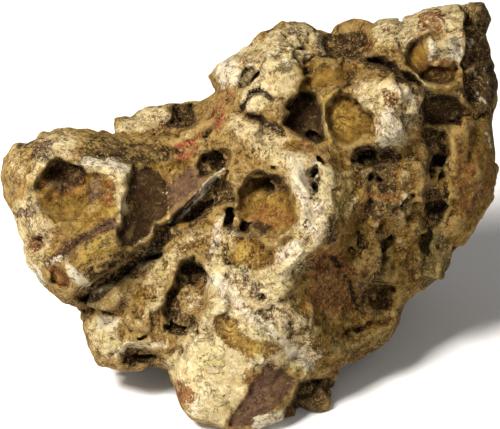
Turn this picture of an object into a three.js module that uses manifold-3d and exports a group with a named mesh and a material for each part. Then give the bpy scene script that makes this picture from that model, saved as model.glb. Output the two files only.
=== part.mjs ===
// Dragon stone: one weathered piece of clay rock, eaten into craters, pits and sharp ridges, lying on
// a flat patch of its underside. Millimetres, +Z up, origin on the resting plane under its middle.
//
// The stone is laid out on its face, which leans back from upright. "Across" runs to the right along
// the face, "up" runs along it from its lowest tip, and "out" stands square to it, towards the front.

import * as THREE from "three";
import { mergeVertices } from "three/addons/utils/BufferGeometryUtils.js";
import Module from "manifold-3d";

// Driving dimensions
const FACE_WIDTH = 248;
const FACE_HEIGHT = 214;
const LEAN = THREE.MathUtils.degToRad(30);
const RESTING_HEIGHT = 9;
const MIDDLE_ACROSS = 125.6;
const MIDDLE_BACK = 60.5;
const SIDE_TAPER = 0.2;

// Lattice: cells are small on the face and open out behind it
const CELL = 5.6;
const FRONT_OUT = 60;
const BACK_OUT = -150;
const SPREAD = 0.0115;
const MARGIN = 8;
const FARTHEST_LUMP = 16;
const DEEPEST_PIT = 42;

// Relief: how far swells and facets bend the rims, and how tall bowls, facets and swells stand.
// Facets die away behind the face, between two distances out, where the cells are too wide for them
const BEND_SLOW = 0.7;
const BEND_QUICK = 1.1;
const BEND_OUT = 1.2;
const BEND_CRISP = 2.6;
const BOWL_HEIGHT = 3.2;
const FACET_HEIGHT = 7;
const SWELL_HEIGHT = 1.3;
const FACETS_END = -55;
const FACETS_START = -10;

// The stone's edge as seen square to the face, clockwise from the left tip: across, up
const EDGE = [
  [1, 126.5], [3, 134], [8, 140.5], [16, 143], [24, 147], [32, 149.5], [42, 149.5], [56.5, 147.5],
  [59, 154], [66, 156], [72.5, 161], [86, 163], [101, 164], [108, 167.5], [106.5, 176], [109, 181.5],
  [118, 187], [126, 190], [129, 194.5], [138, 200.5], [147, 202.5], [155, 200.5], [161, 198.5],
  [172, 198.5], [182, 202], [196, 204.5], [200.5, 203], [207, 207], [211, 209.5], [223, 211.5],
  [234, 213.5], [241, 212], [245.5, 204], [243, 194.5], [247, 184], [248, 172], [245.5, 155],
  [247.5, 140], [248, 119], [243, 109], [238.5, 98], [233, 91], [226, 87], [224.5, 78.5], [219, 74.5],
  [209.5, 68.5], [201, 64.5], [198, 53], [195, 45], [188, 39.5], [176, 34.5], [167.5, 30.5],
  [166, 22.5], [158, 15], [150, 9], [141, 5.5], [128, 1.5], [118, 0], [110, 3], [97, 6.5], [92, 11.5],
  [88.5, 23], [84.5, 30], [76, 33], [71.5, 30], [62, 29.5], [50.5, 33], [44.5, 43], [42.5, 52],
  [45.5, 60.5], [35, 64], [27.5, 69.5], [22, 75], [14.5, 83], [13, 94], [9, 105], [3.5, 116],
];

// The broad form, taken at places on the face: across, up, how far out the front stands,
// how far back the rear wall stands, radius of the turn to the sides, roughness
const SOUNDING_REACH = 11;
const SOUNDINGS = [
  // Left arm
  [8, 122, 24, 98, 22, 0.25],
  [34, 130, 34, 108, 24, 0.3],
  [34, 100, 36, 98, 24, 0.4],
  [58, 118, 40, 110, 24, 0.3],
  [50, 96, 40, 102, 22, 0.3],
  [30, 78, 30, 94, 20, 0.5],
  [45, 143, 20, 110, 20, 0.7],
  [76, 140, 8, 112, 20, 0.6],
  [80, 112, 17, 116, 22, 0.3],
  [94, 114, 22, 118, 22, 0.2],
  // Shelf behind the arm
  [75, 160, -12, 122, 16, 0.4],
  [96, 158, -4, 124, 16, 0.5],
  [103, 145, 14, 124, 20, 0.6],
  // Upper left
  [116, 172, 10, 128, 18, 0.5],
  [136, 172, 18, 130, 20, 0.6],
  [130, 158, 20, 130, 22, 0.6],
  [147, 190, 6, 132, 18, 0.7],
  [168, 190, -4, 134, 18, 0.7],
  // Centre
  [125, 140, 30, 126, 24, 0.4],
  [118, 120, 28, 126, 24, 0.3],
  [145, 125, 38, 128, 24, 0.3],
  [156, 112, 44, 128, 24, 0.4],
  [150, 90, 45, 124, 24, 0.4],
  [128, 84, 40, 122, 24, 0.3],
  // Upper right
  [172, 158, 26, 134, 22, 0.3],
  [196, 165, 28, 136, 22, 0.4],
  [190, 148, 30, 134, 22, 0.5],
  [196, 192, 8, 138, 18, 0.5],
  [216, 182, 18, 138, 22, 0.3],
  [236, 200, 8, 138, 18, 0.4],
  [242, 172, 2, 136, 20, 0.4],
  [220, 156, 8, 136, 22, 0.6],
  // Right side
  [190, 122, 22, 130, 24, 0.6],
  [208, 125, 14, 130, 24, 0.6],
  [236, 130, 6, 130, 24, 0.3],
  [240, 110, -2, 128, 22, 0.5],
  [216, 100, 2, 128, 20, 0.6],
  [218, 84, -14, 120, 16, 0.2],
  [186, 98, 18, 126, 22, 0.6],
  // Lower right
  [168, 78, 30, 120, 22, 0.5],
  [186, 62, 8, 116, 20, 0.45],
  [200, 78, -2, 120, 20, 0.55],
  [168, 48, 18, 112, 20, 0.45],
  [186, 48, -2, 110, 18, 0.45],
  // Foot
  [150, 58, 38, 112, 24, 0.5],
  [128, 56, 42, 112, 24, 0.3],
  [105, 50, 40, 108, 22, 0.2],
  [105, 25, 36, 100, 18, 0.2],
  [130, 24, 36, 100, 18, 0.3],
  [118, 8, 30, 92, 14, 0.2],
  [152, 24, 16, 100, 14, 0.4],
  // Lower left
  [98, 88, 25, 114, 22, 0.45],
  [78, 74, 21, 108, 20, 0.55],
  [62, 66, 17, 102, 18, 0.35],
  [60, 46, 16, 100, 18, 0.45],
  [80, 48, 24, 104, 20, 0.45],
];

// Ridges, grooves and steps along a line on the face. Walking along the line, each side rises or
// drops by its lift and dies away over its reach: name, left lift, reach, right lift, reach, points
const CREASES = [
  ["arm arete", -4, 7, 3, 9, [[67, 134], [66.5, 121.5], [65, 114], [62, 106.5], [61, 96.5], [62.5, 89]]],
  ["arm fold", -3, 9, -3, 9, [[80, 131], [84, 120], [84.5, 110], [83, 103]]],
  ["arm band", -2.5, 5, -2.5, 5, [[25, 80], [32.5, 88], [42.5, 94], [50, 101.5], [60, 106.5]]],
  ["arm ridge", 4.5, 2.6, 4.5, 2.6, [[29, 83], [34, 86.5], [37.5, 81.5], [42.5, 75], [47, 74]]],
  ["arm lower edge", 4, 9, -13, 18, [[33, 63], [42.5, 71], [57.5, 80], [67.5, 86.5], [75, 93], [80, 103]]],
  ["arm top edge", -7, 10, 3, 8, [[54, 147], [66, 145], [80, 144], [92, 148], [104, 156]]],
  ["streaked ridge", 3, 3.2, 3, 3.2, [[84, 141], [100, 149], [112.5, 156.5], [117.5, 164]]],
  ["streaked ridge below", 2.6, 3.2, 2.6, 3.2, [[90, 136.5], [105, 144], [117.5, 153], [122.5, 160]]],
  ["bowl rim", 4.5, 2, 4, 3, [
    [172, 168], [165, 164], [161.5, 158], [160.5, 151.5], [162.5, 145], [167, 140],
  ]],
  ["crevice", -8, 2.6, -8, 2.6, [[179, 183], [190, 181.5], [197.5, 176.5], [205, 170], [213, 165.5]]],
  ["crater lip", 5, 3, 5, 3, [
    [200.5, 182.5], [204, 175], [208, 170.5], [213, 168], [221, 167.7], [230, 171.5],
  ]],
  ["crater brow", -4, 1.6, 2, 5, [[207, 194], [213, 196], [220, 195], [230, 197]]],
  ["right edge", -9, 14, 3, 8, [[231, 212], [230, 195], [229, 180], [232, 166], [236, 158]]],
  ["blade", -12, 9, 4.5, 10, [[114.5, 129], [106.5, 122.5], [92.5, 110.5], [85, 104], [80, 100]]],
  ["crest", 6, 7, 6, 7, [
    [142.5, 139], [150, 121.5], [157.5, 114], [161, 106.5], [159, 94], [150, 86.5], [140, 79], [140, 66],
  ]],
  ["foot crease", -8, 9, 2.5, 8, [[168, 31], [161, 27.5], [150, 25], [145, 16.5], [139, 7]]],
  ["lower rim", 4.5, 4, 4.5, 4, [[150, 42], [163, 37], [178, 41], [193, 50], [198, 60]]],
  ["right ridge", 2.5, 3.5, 2.5, 3.5, [[197.5, 88], [198, 70], [196, 54]]],
  ["lobe rim", 3.5, 2.5, 3.5, 2.5, [[49, 36], [58, 34.5], [64, 43], [76, 44], [86, 40]]],
  ["side crest", 3.5, 6, 3.5, 6, [[206, 152], [209, 138], [207, 122], [208, 104], [205, 90]]],
  ["first flute", 2.5, 4, 2.5, 4, [[168, 128], [171, 118], [173, 106], [172, 96]]],
  ["second flute", 3, 4, 3, 4, [[200, 136], [198, 120], [201, 106], [199, 92]]],
  ["fourth flute", 2.5, 3.5, 2.5, 3.5, [[184, 100], [186, 90], [184, 78]]],
  ["fifth flute", 2.5, 3.5, 2.5, 3.5, [[192, 72], [194, 84], [193, 98]]],
  ["right body edge", 3, 4, 3, 6, [[222, 150], [224, 140], [226, 128], [228, 116], [226, 104], [224, 96]]],
  ["foot left edge", 3, 4, -3, 6, [[104, 84], [106, 72], [102, 52], [92, 38], [88, 22]]],
];

// Flats and hollows with an outline on the face. Inside the outline the face moves by the lift, tilted
// by the slopes, and the edge is so wide: name, lift, slope across, slope up, edge width, roughness, points
const PLANES = [
  ["arm face", -3, 0.1, -0.1, 4, 0.2, [
    [20.5, 122], [23, 128], [29, 133], [34, 134], [40, 131], [46, 128], [53, 129], [60, 128], [64, 122],
    [63, 110], [60, 104], [50, 101], [42, 97], [36, 98], [30, 102], [24, 110], [20.5, 117],
  ]],
  ["arm hollow", -4.5, 0, 0, 1.5, 0.3, [
    [27, 80], [31, 84], [35, 81], [38, 75], [36, 70], [31, 70], [27, 74],
  ]],
  ["arm undercut", -6, 0, 0.15, 2, 0.4, [
    [37, 64], [45, 69], [55, 75], [64, 82], [71, 88], [79, 97], [83, 100], [86, 96], [80, 89], [72, 82],
    [66, 77], [57, 71], [48, 64],
  ]],
  ["cavity", -9, 0, -0.12, 3, 0.5, [
    [92, 84], [97, 85], [104, 81], [105, 72], [104, 62], [99, 53], [90, 49], [84, 50], [82, 57], [85, 66],
    [88, 76],
  ]],
  ["central bowl", -8, 0, -0.3, 4, 0.15, [
    [119, 118], [124, 124], [131, 128], [138, 127], [143, 121], [146, 115], [149, 108], [148, 101],
    [143, 98], [137, 96], [131, 97], [126, 99], [119, 100], [118, 108],
  ]],
  ["ochre bowl", -3.5, 0, 0.1, 4, 0.7, [
    [110, 88], [112, 96], [118, 98], [126, 97], [131, 93], [137, 90], [139, 85], [132, 82], [125, 81],
    [118, 80], [112, 83],
  ]],
  ["kidney", -2.2, 0, -0.05, 3.5, 0.12, [
    [107, 58], [113, 60], [119, 56], [122, 49], [130, 46], [139, 45], [141, 41], [134, 38], [124, 37],
    [117, 42], [110, 47], [106, 52],
  ]],
  ["lower bowl", -8, -0.15, -0.05, 7, 0.45, [
    [143, 80], [150, 88], [160, 91], [168, 92], [176, 89], [178, 80], [180, 74], [196, 72], [198, 60],
    [194, 50], [180, 43], [165, 42], [158, 52], [154, 62], [148, 70],
  ]],
  ["lower bowl deep", -6, -0.1, -0.3, 3, 0.3, [
    [178, 76], [190, 76], [197, 70], [197, 60], [188, 58], [178, 62],
  ]],
  ["dark hollow", -15, -0.35, 0, 2.5, 0.1, [
    [141, 160], [150, 169], [158, 166], [160, 158], [161, 150], [163, 142], [158, 141], [152, 144],
    [146, 147], [141, 151],
  ]],
  ["round bowl", -8, -0.1, -0.2, 5, 0.12, [
    [161, 150], [160.5, 158], [163, 164], [168, 167], [175, 166], [181, 161], [186, 155], [187, 149],
    [184, 144], [178, 140.5], [170, 140.5], [165, 141.5],
  ]],
  ["saddle", -8, 0, 0.1, 3, 0.5, [
    [159, 200], [161, 192], [163, 186], [170, 183], [178, 182], [185, 186], [187, 191], [184, 197],
    [180, 203], [165, 202],
  ]],
  ["right crater", -9, 0, 0.3, 5, 0.12, [
    [202, 186], [204, 191], [209, 195], [216, 196], [224, 195], [229, 191], [230.5, 184], [230, 177],
    [226, 172], [219, 170], [211, 171], [205, 175], [202, 180],
  ]],
  ["right recess", -8, 0.15, -0.3, 4, 0.2, [
    [209, 165], [218, 166.5], [228, 164], [233, 158], [229, 151], [218, 150], [211, 150], [208, 157],
  ]],
  ["crevice", -8, 0, 0, 2, 0.3, [
    [181, 185], [190, 184], [199, 178], [207, 172], [216, 166], [211, 163], [203, 168], [194, 176],
    [187, 180],
  ]],
  ["upper hollow", -5, 0.2, 0, 1.5, 0.3, [
    [120, 168], [119, 174], [122, 180], [128, 181], [130, 176], [128, 171], [124, 169],
  ]],
  ["shelf hollow", -7, -0.3, 0, 1.5, 0.3, [
    [85, 149], [85, 160], [88, 163], [96, 161], [98, 152], [92, 149],
  ]],
  ["centre hole", -9, -0.3, 0, 2, 0.4, [
    [100, 125], [99, 132], [103, 136], [109, 138], [114, 135], [114, 130], [109, 126], [104, 124],
  ]],
  ["blade gap", -5, 0, 0.25, 2.5, 0.5, [
    [90, 103], [97, 111], [106, 119], [112, 124], [118, 121], [118, 113], [112, 112], [104, 106],
    [96, 101],
  ]],
  ["middle pit", -7, 0, -0.3, 3, 0.5, [
    [174, 133], [177, 139], [184, 141], [192, 139], [198, 136], [197, 131], [190, 129], [181, 129],
  ]],
  ["right channel", -6, -0.2, 0, 4, 0.6, [
    [210, 150], [221, 150], [223, 140], [222, 128], [224, 116], [221, 104], [216, 98], [208, 100],
    [210, 112], [212, 125], [211, 138],
  ]],
  ["pocket", -5, 0, -0.2, 3, 0.4, [[152, 128], [158, 132], [160, 126], [159, 118], [156, 113], [153, 117]]],
  ["lobe pit", -6, 0, -0.3, 3, 0.4, [[60, 41], [70, 42], [80, 40], [84, 36], [78, 32], [66, 31], [60, 34]]],
  ["foot lobe", -7, 0, 0, 2, 0.4, [
    [150, 26], [158, 25], [166, 26], [166, 18], [158, 12], [148, 8], [145, 14],
  ]],
];

// Lumps and pits, as eggs set at the face: name, across, up, how deep the middle is sunk,
// half sizes across, up and out, turn in degrees, width of the soft edge
const LUMPS = [
  ["pink lump", 140.5, 172, 2, 11.5, 12.5, 9, 10, 4],
  ["cream knot", 130.5, 160.5, 1, 6.2, 5.4, 5, 0, 2],
  ["tan knot", 139, 156, 1, 5, 4.5, 5, 0, 2],
  ["ledge", 162.5, 174, 3, 14, 7, 7, 8, 4],
  ["white knot", 191, 150, 0, 6, 7.5, 7, 0, 3],
  ["cream lump", 193, 163, 2, 15, 10, 10, -10, 4],
  ["upper rim lump", 178, 199, 2, 10, 5, 7, 10, 3],
  ["side boss", 218, 122, 1, 6, 4, 5, 0, 2],
  ["side lobe", 218, 86, 3, 8, 13, 10, 0, 4],
  ["foot lobe", 156, 17, 1, 8.5, 8, 8, 30, 3],
  ["tan boss", 60, 67, 2, 12, 9, 9, 25, 4],
  ["cream boss", 74, 55, 2, 8, 7, 7, 0, 3],
];
const PITS = [
  ["arm crater", 34.5, 118, -1, 14, 15, 12, -12, 5],
  ["arm crater deep", 34, 124.5, 2, 11.5, 8.5, 12, -10, 2],
  ["arm spot", 22, 92, 0, 4, 4.6, 3, 0, 1.5],
  ["arm undercut inner", 77, 88, 6, 15, 3.4, 11, 47, 1],
  ["shelf pit", 91, 157, 1, 5, 5, 5, 0, 2],
  ["hill patch", 147.5, 197, 0, 6.5, 3.5, 2, 5, 1],
  ["dark hollow foot", 157.5, 144.5, 2, 6, 3.4, 8, -38, 1],
  ["right crater pocket", 217, 175, 0, 9, 4, 4, 0, 4],
  ["right pit", 217, 134, 1, 5.6, 5.4, 7, 0, 1],
  ["right pit below", 217, 112, 1, 6.2, 6.2, 8, 8, 1],
  ["middle pit deep", 183, 135, 2, 7.5, 3.6, 6, -8, 2],
  ["middle diagonal", 184, 122, 1, 3.4, 7.5, 4, 14, 2],
  ["middle pit right", 191.5, 124, 1, 5, 3.4, 4, 0, 1],
  ["pocket deep", 155.5, 124, 1, 3.6, 6, 6, 8, 1],
  ["centre hole deep", 109.5, 132, 1, 4.4, 5, 8, -20, 1],
  ["central pocket", 133.5, 121, 3, 8, 4.6, 7, 10, 2],
  ["cavity top", 96, 79, 1, 7.5, 5, 8, -10, 2],
  ["lobe pit deep", 74, 37, 1, 8.5, 3.6, 8, 4, 1.5],
  ["lobe hollow", 64, 50, 1, 9, 5, 3, -25, 2],
];

// How far the deeper parts of a pit are moved up the face, for each millimetre of depth
const PIT_SLANT = 0.45;

// The sides and the back, which the face hides: pits set by the golden angle, and slow swells
const HIDDEN_PITS = 60;
const HIDDEN_PIT_LEAST = 6;
const HIDDEN_PIT_MORE = 8;
const HIDDEN_SWELL = 7;
const GOLDEN_ANGLE = Math.PI * (3 - Math.sqrt(5));
const HEART = [128, 112, -22];

const UP_TO_HEIGHT = Math.cos(LEAN);
const OUT_TO_HEIGHT = Math.sin(LEAN);

// A place on the face, as x, y and z over the resting plane
function toRoom([across, up, out]) {
  return [
    across - MIDDLE_ACROSS,
    up * OUT_TO_HEIGHT - out * UP_TO_HEIGHT - MIDDLE_BACK,
    up * UP_TO_HEIGHT + out * OUT_TO_HEIGHT - RESTING_HEIGHT,
  ];
}

// Smooth larger and smooth smaller of two numbers, blended over a width
function softMax(one, two, width) {
  const blend = Math.max(width - Math.abs(one - two), 0) / width;
  return Math.max(one, two) + blend * blend * width / 4;
}

function softMin(one, two, width) {
  return -softMax(-one, -two, width);
}

// Distance from a point to a stretch of line, the place along it from 0 to 1, and the side
function toStretch(across, up, from, to) {
  const run = to[0] - from[0];
  const rise = to[1] - from[1];
  const dot = (across - from[0]) * run + (up - from[1]) * rise;
  const along = THREE.MathUtils.clamp(dot / (run * run + rise * rise), 0, 1);
  const offAcross = across - from[0] - along * run;
  const offUp = up - from[1] - along * rise;
  return {
    distance: Math.hypot(offAcross, offUp),
    along,
    side: Math.sign(run * (up - from[1]) - rise * (across - from[0])),
  };
}

// Distance to a closed outline on the face, negative within it
function outlineDistance(across, up, outline) {
  let nearest = Infinity;
  let within = false;
  outline.forEach((from, index) => {
    const to = outline[(index + 1) % outline.length];
    nearest = Math.min(nearest, toStretch(across, up, from, to).distance);
    if ((from[1] > up) !== (to[1] > up)) {
      const crossing = (to[0] - from[0]) * (up - from[1]) / (to[1] - from[1]) + from[0];
      within = within !== (across < crossing);
    }
  });
  return within ? -nearest : nearest;
}

// A random number from 0 to 1 for each point of a lattice
function chance(i, j, k, seed) {
  const wave = Math.abs(Math.sin(i * 127.1 + j * 311.7 + k * 74.7 + seed * 53.3) * 43758.5453);
  return wave - Math.floor(wave);
}

// The lattice is turned, so that its rows line up with nothing on the stone
const LATTICE_TURN = new THREE.Matrix3().set(
  0.8, 0.6, 0,
  -0.36, 0.48, 0.8,
  0.48, -0.64, 0.6,
);

function onLattice([across, up, out], size) {
  return new THREE.Vector3(across, up, out).applyMatrix3(LATTICE_TURN).divideScalar(size).toArray();
}

// Smooth random swell from -1 to 1, a chance at each lattice point blended in between
function swell(place, size, seed) {
  const scaled = onLattice(place, size);
  const base = scaled.map(Math.floor);
  const ease = scaled.map((value, axis) => THREE.MathUtils.smoothstep(value - base[axis], 0, 1));
  let total = 0;
  for (let corner = 0; corner < 8; corner += 1) {
    const step = [corner & 1, (corner >> 1) & 1, corner >> 2];
    const weight = step.reduce((share, far, axis) => share * (far ? ease[axis] : 1 - ease[axis]), 1);
    total += weight * chance(base[0] + step[0], base[1] + step[1], base[2] + step[2], seed);
  }
  return total * 2 - 1;
}

// Shallow bowls that meet in ridges: 1 in the middle of a bowl, 0 on the ridge
function bowls(place, size, seed) {
  const scaled = onLattice(place, size);
  const base = scaled.map((value) => Math.floor(value - 0.5));
  let nearest = Infinity;
  for (let corner = 0; corner < 8; corner += 1) {
    const cell = [base[0] + (corner & 1), base[1] + ((corner >> 1) & 1), base[2] + (corner >> 2)];
    let square = 0;
    for (let axis = 0; axis < 3; axis += 1) {
      const middle = cell[axis] + 0.25 + 0.5 * chance(...cell, seed + axis);
      square += (scaled[axis] - middle) ** 2;
    }
    nearest = Math.min(nearest, square);
  }
  return 1 - Math.min(nearest / 0.45, 1);
}

// Flat facets with crisp steps between them: scattered middles, each with a plane of its own slope
function facets(place, size, seed) {
  const scaled = onLattice(place, size);
  const base = scaled.map((value) => Math.floor(value - 0.5));
  let total = 0;
  let weights = 1e-9;
  for (let corner = 0; corner < 8; corner += 1) {
    const cell = [base[0] + (corner & 1), base[1] + ((corner >> 1) & 1), base[2] + (corner >> 2)];
    let square = 0;
    let height = 0;
    for (let axis = 0; axis < 3; axis += 1) {
      const offset = scaled[axis] - cell[axis] - 0.25 - 0.5 * chance(...cell, seed + axis);
      square += offset ** 2;
      height += offset * (2 * chance(...cell, seed + 3 + axis) - 1);
    }
    const weight = Math.exp(-12 * square);
    total += weight * height;
    weights += weight;
  }
  return total / weights;
}

// A slow wander of places, which bends every edge and rim, and facets that make them angular
function wander([across, up, out]) {
  const place = [across, up, out];
  const bent = [
    across + BEND_SLOW * swell(place, 15, 21) + BEND_QUICK * swell(place, 6, 22),
    up + BEND_SLOW * swell(place, 15, 23) + BEND_QUICK * swell(place, 6, 24),
    out + BEND_OUT * swell(place, 8, 25),
  ];
  const crisp = BEND_CRISP * THREE.MathUtils.smoothstep(out, FACETS_END, FACETS_START);
  return [bent[0] + crisp * facets(bent, 10, 51), bent[1] + crisp * facets(bent, 10, 57), bent[2]];
}

// How far a crease lifts the face at a place
function creaseLift(across, up, [, leftLift, leftReach, rightLift, rightReach, points]) {
  let best = { distance: Infinity };
  let length = 0;
  for (let index = 1; index < points.length; index += 1) {
    const stretch = toStretch(across, up, points[index - 1], points[index]);
    const run = Math.hypot(points[index][0] - points[index - 1][0], points[index][1] - points[index - 1][1]);
    if (stretch.distance < best.distance) {
      best = { ...stretch, walked: length + stretch.along * run };
    }
    length += run;
  }
  const fromEnd = Math.min(best.walked, length - best.walked) / length;
  const fade = THREE.MathUtils.clamp(fromEnd * 6, 0, 1) ** 0.7;
  const left = leftLift * Math.exp(-best.distance / leftReach);
  const right = rightLift * Math.exp(-best.distance / rightReach);
  const sided = THREE.MathUtils.smoothstep(best.distance * best.side, -0.8, 0.8);
  return fade * (sided * left + (1 - sided) * right);
}

// How much a plane counts at a place, and how far it moves the face there
function planeAt(across, up, [, lift, slopeAcross, slopeUp, width, , points]) {
  const middle = [0, 1].map((axis) => points.reduce((sum, point) => sum + point[axis], 0) / points.length);
  const inwards = -outlineDistance(across, up, points);
  const share = THREE.MathUtils.smoothstep(inwards, -width / 3, width);
  return [share, share * (lift + slopeAcross * (across - middle[0]) + slopeUp * (up - middle[1]))];
}

// The broad form at a place on the face
function formAt(across, up) {
  const sums = [0, 0, 0, 0];
  let whole = 1e-9;
  for (const [soundingAcross, soundingUp, ...values] of SOUNDINGS) {
    const square = (across - soundingAcross) ** 2 + (up - soundingUp) ** 2;
    const weight = Math.exp(-square / (2 * SOUNDING_REACH ** 2)) + 1e-12;
    whole += weight;
    values.forEach((value, index) => {
      sums[index] += weight * value;
    });
  }
  const [front, rear, round, broadRough] = sums.map((sum) => sum / whole);
  const bent = wander([across, up, 30]);
  let lift = CREASES.reduce((total, crease) => total + creaseLift(bent[0], bent[1], crease), 0);
  let rough = broadRough;
  for (const plane of PLANES) {
    const [share, moved] = planeAt(bent[0], bent[1], plane);
    lift += moved;
    rough += (plane[5] - rough) * share;
  }
  return {
    edge: outlineDistance(across, up, EDGE),
    front: front + lift,
    back: (up * OUT_TO_HEIGHT - rear) / UP_TO_HEIGHT,
    round,
    rough,
  };
}

// The face's height at a place, with the turn to the sides
function faceHeight(across, up) {
  const { edge, front, round } = formAt(across, up);
  const past = Math.max(edge + round, 0);
  return front - round + Math.sqrt(Math.max(round ** 2 - past ** 2, 0));
}

// Distance to the stone before pits and lumps: the edge carried back with a taper, rounded over
function bodyDistance(form, out) {
  const sideways = form.edge + SIDE_TAPER * Math.max(form.front - form.round - out, 0);
  const through = Math.max(out - form.front, form.back - out);
  const corner = Math.hypot(Math.max(sideways + form.round, 0), Math.max(through + form.round, 0));
  return corner - form.round + Math.min(Math.max(sideways, through) + form.round, 0);
}

// Distance to an egg, from its middle, half sizes, turn in the plane of the face, and slant, by which its
// deeper parts lie up the face
function eggDistance([across, up, out], { middle, half, turn }, slant) {
  const x = across - middle[0];
  const y = up - middle[1] + slant * (out - middle[2]);
  const local = [
    x * Math.cos(turn) + y * Math.sin(turn),
    y * Math.cos(turn) - x * Math.sin(turn),
    out - middle[2],
  ];
  const near = Math.hypot(...local.map((value, axis) => value / half[axis]));
  const slope = Math.hypot(...local.map((value, axis) => value / half[axis] ** 2)) + 1e-9;
  return near * (near - 1) / slope;
}

function eggOnFace([, across, up, sunk, halfAcross, halfUp, halfOut, turn, soft]) {
  return {
    middle: [across, up, faceHeight(across, up) - sunk],
    half: [halfAcross, halfUp, halfOut],
    turn: THREE.MathUtils.degToRad(turn),
    soft,
  };
}

// Pits on the sides and back, found by walking out of the stone's heart along each direction
function hiddenEggs() {
  const eggs = [];
  for (let index = 0; index < HIDDEN_PITS; index += 1) {
    const tilt = 1 - 2 * (index + 0.5) / HIDDEN_PITS;
    const ring = Math.sqrt(1 - tilt * tilt);
    const turn = index * GOLDEN_ANGLE;
    const way = [ring * Math.cos(turn), tilt, ring * Math.sin(turn)];
    const towardsFloor = way[1] * UP_TO_HEIGHT + way[2] * OUT_TO_HEIGHT;
    if (way[2] > 0.05 || towardsFloor < -0.45) {
      continue;
    }
    let walked = 20;
    const placeAt = () => way.map((part, axis) => HEART[axis] + part * walked);
    while (bodyDistance(formAt(...placeAt().slice(0, 2)), placeAt()[2]) < 0) {
      walked += 1;
    }
    const size = HIDDEN_PIT_LEAST + HIDDEN_PIT_MORE * chance(index, 2, 5, 7);
    const slim = 0.6 + 0.4 * chance(index, 3, 1, 4);
    eggs.push({ middle: placeAt(), half: [size, size * slim, size * slim], turn, soft: 2 });
  }
  return eggs;
}

const lumps = LUMPS.map(eggOnFace);
const pits = PITS.map(eggOnFace).concat(hiddenEggs());

// Distance to the whole stone: body, lumps, pits, then bowls and swells over all of it
function stoneDistance(form, place) {
  let distance = bodyDistance(form, place[2]);
  if (distance > FARTHEST_LUMP || distance < -DEEPEST_PIT) {
    return distance;
  }
  const bent = wander(place);
  for (const lump of lumps) {
    distance = softMin(distance, eggDistance(bent, lump, 0), lump.soft);
  }
  for (const pit of pits) {
    distance = softMax(distance, -eggDistance(bent, pit, PIT_SLANT), pit.soft);
  }
  const hidden = THREE.MathUtils.clamp((form.front - 0.8 * form.round - place[2]) / 20, 0, 1);
  const atSide = THREE.MathUtils.smoothstep(form.edge, -12, -4)
    * THREE.MathUtils.smoothstep(place[2] - form.front, -35, -15);
  const rough = (THREE.MathUtils.lerp(form.rough, 0.6, hidden) + 0.1) * (1 - 0.6 * atSide);
  const crisp = FACET_HEIGHT * THREE.MathUtils.smoothstep(place[2], FACETS_END, FACETS_START);
  distance += rough * (BOWL_HEIGHT * (bowls(bent, 22, 3) - 0.45) + crisp * facets(bent, 15, 31));
  distance += SWELL_HEIGHT * swell(place, 17, 1) + hidden * HIDDEN_SWELL * swell(place, 48, 8);
  return distance;
}

// The lattice of cells that the stone is worked out on, and the place of each of its points
const EVEN_STEPS = FRONT_OUT / CELL;
const OUT_STEPS = Math.ceil(EVEN_STEPS + Math.log1p(-SPREAD * BACK_OUT) / (SPREAD * CELL));
const ACROSS_STEPS = Math.ceil((FACE_WIDTH + 2 * MARGIN) / CELL);
const UP_STEPS = Math.ceil((FACE_HEIGHT + 2 * MARGIN) / CELL);

function latticePlace(i, j, k) {
  const widen = Math.exp(SPREAD * CELL * Math.max(k - EVEN_STEPS, 0));
  const out = FRONT_OUT - CELL * Math.min(k, EVEN_STEPS) - (widen - 1) / SPREAD;
  return [
    FACE_WIDTH / 2 + (i - ACROSS_STEPS / 2) * CELL * widen,
    FACE_HEIGHT / 2 + (j - UP_STEPS / 2) * CELL * widen,
    out,
  ];
}

const ROW = ACROSS_STEPS + 1;
const LAYER = ROW * (UP_STEPS + 1);
const CORNERS = [0, 1, ROW, ROW + 1, LAYER, LAYER + 1, LAYER + ROW, LAYER + ROW + 1];
const CELL_EDGES = [];
for (let one = 0; one < 8; one += 1) {
  for (const bit of [1, 2, 4]) {
    if (!(one & bit)) {
      CELL_EDGES.push([one, one | bit]);
    }
  }
}

function latticeValues() {
  const values = new Float64Array(LAYER * (OUT_STEPS + 1));
  for (let k = 0; k <= OUT_STEPS; k += 1) {
    for (let j = 0; j <= UP_STEPS; j += 1) {
      for (let i = 0; i <= ACROSS_STEPS; i += 1) {
        const place = latticePlace(i, j, k);
        values[i + j * ROW + k * LAYER] = stoneDistance(formAt(place[0], place[1]), place);
      }
    }
  }
  return values;
}

// Whether the marked corners of a cell hang together along its edges
function hangTogether(marked) {
  const reached = new Set(marked.slice(0, 1));
  for (let round = 0; round < marked.length; round += 1) {
    for (const [one, two] of CELL_EDGES) {
      if (marked.includes(one) && marked.includes(two) && (reached.has(one) || reached.has(two))) {
        reached.add(one).add(two);
      }
    }
  }
  return reached.size === marked.length;
}

// Fills a corner of each cell that two sheets of the surface would share, until none is left
function partSheets(values, cells) {
  for (let left = 1; left > 0;) {
    left = 0;
    for (const cell of cells) {
      const corners = [0, 1, 2, 3, 4, 5, 6, 7];
      const solid = corners.filter((corner) => values[cell + CORNERS[corner]] < 0);
      const open = corners.filter((corner) => values[cell + CORNERS[corner]] >= 0);
      if (!hangTogether(solid) || !hangTogether(open)) {
        open.sort((one, two) => values[cell + CORNERS[one]] - values[cell + CORNERS[two]]);
        values[cell + CORNERS[open[0]]] = -0.1;
        left += 1;
      }
    }
  }
}

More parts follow.
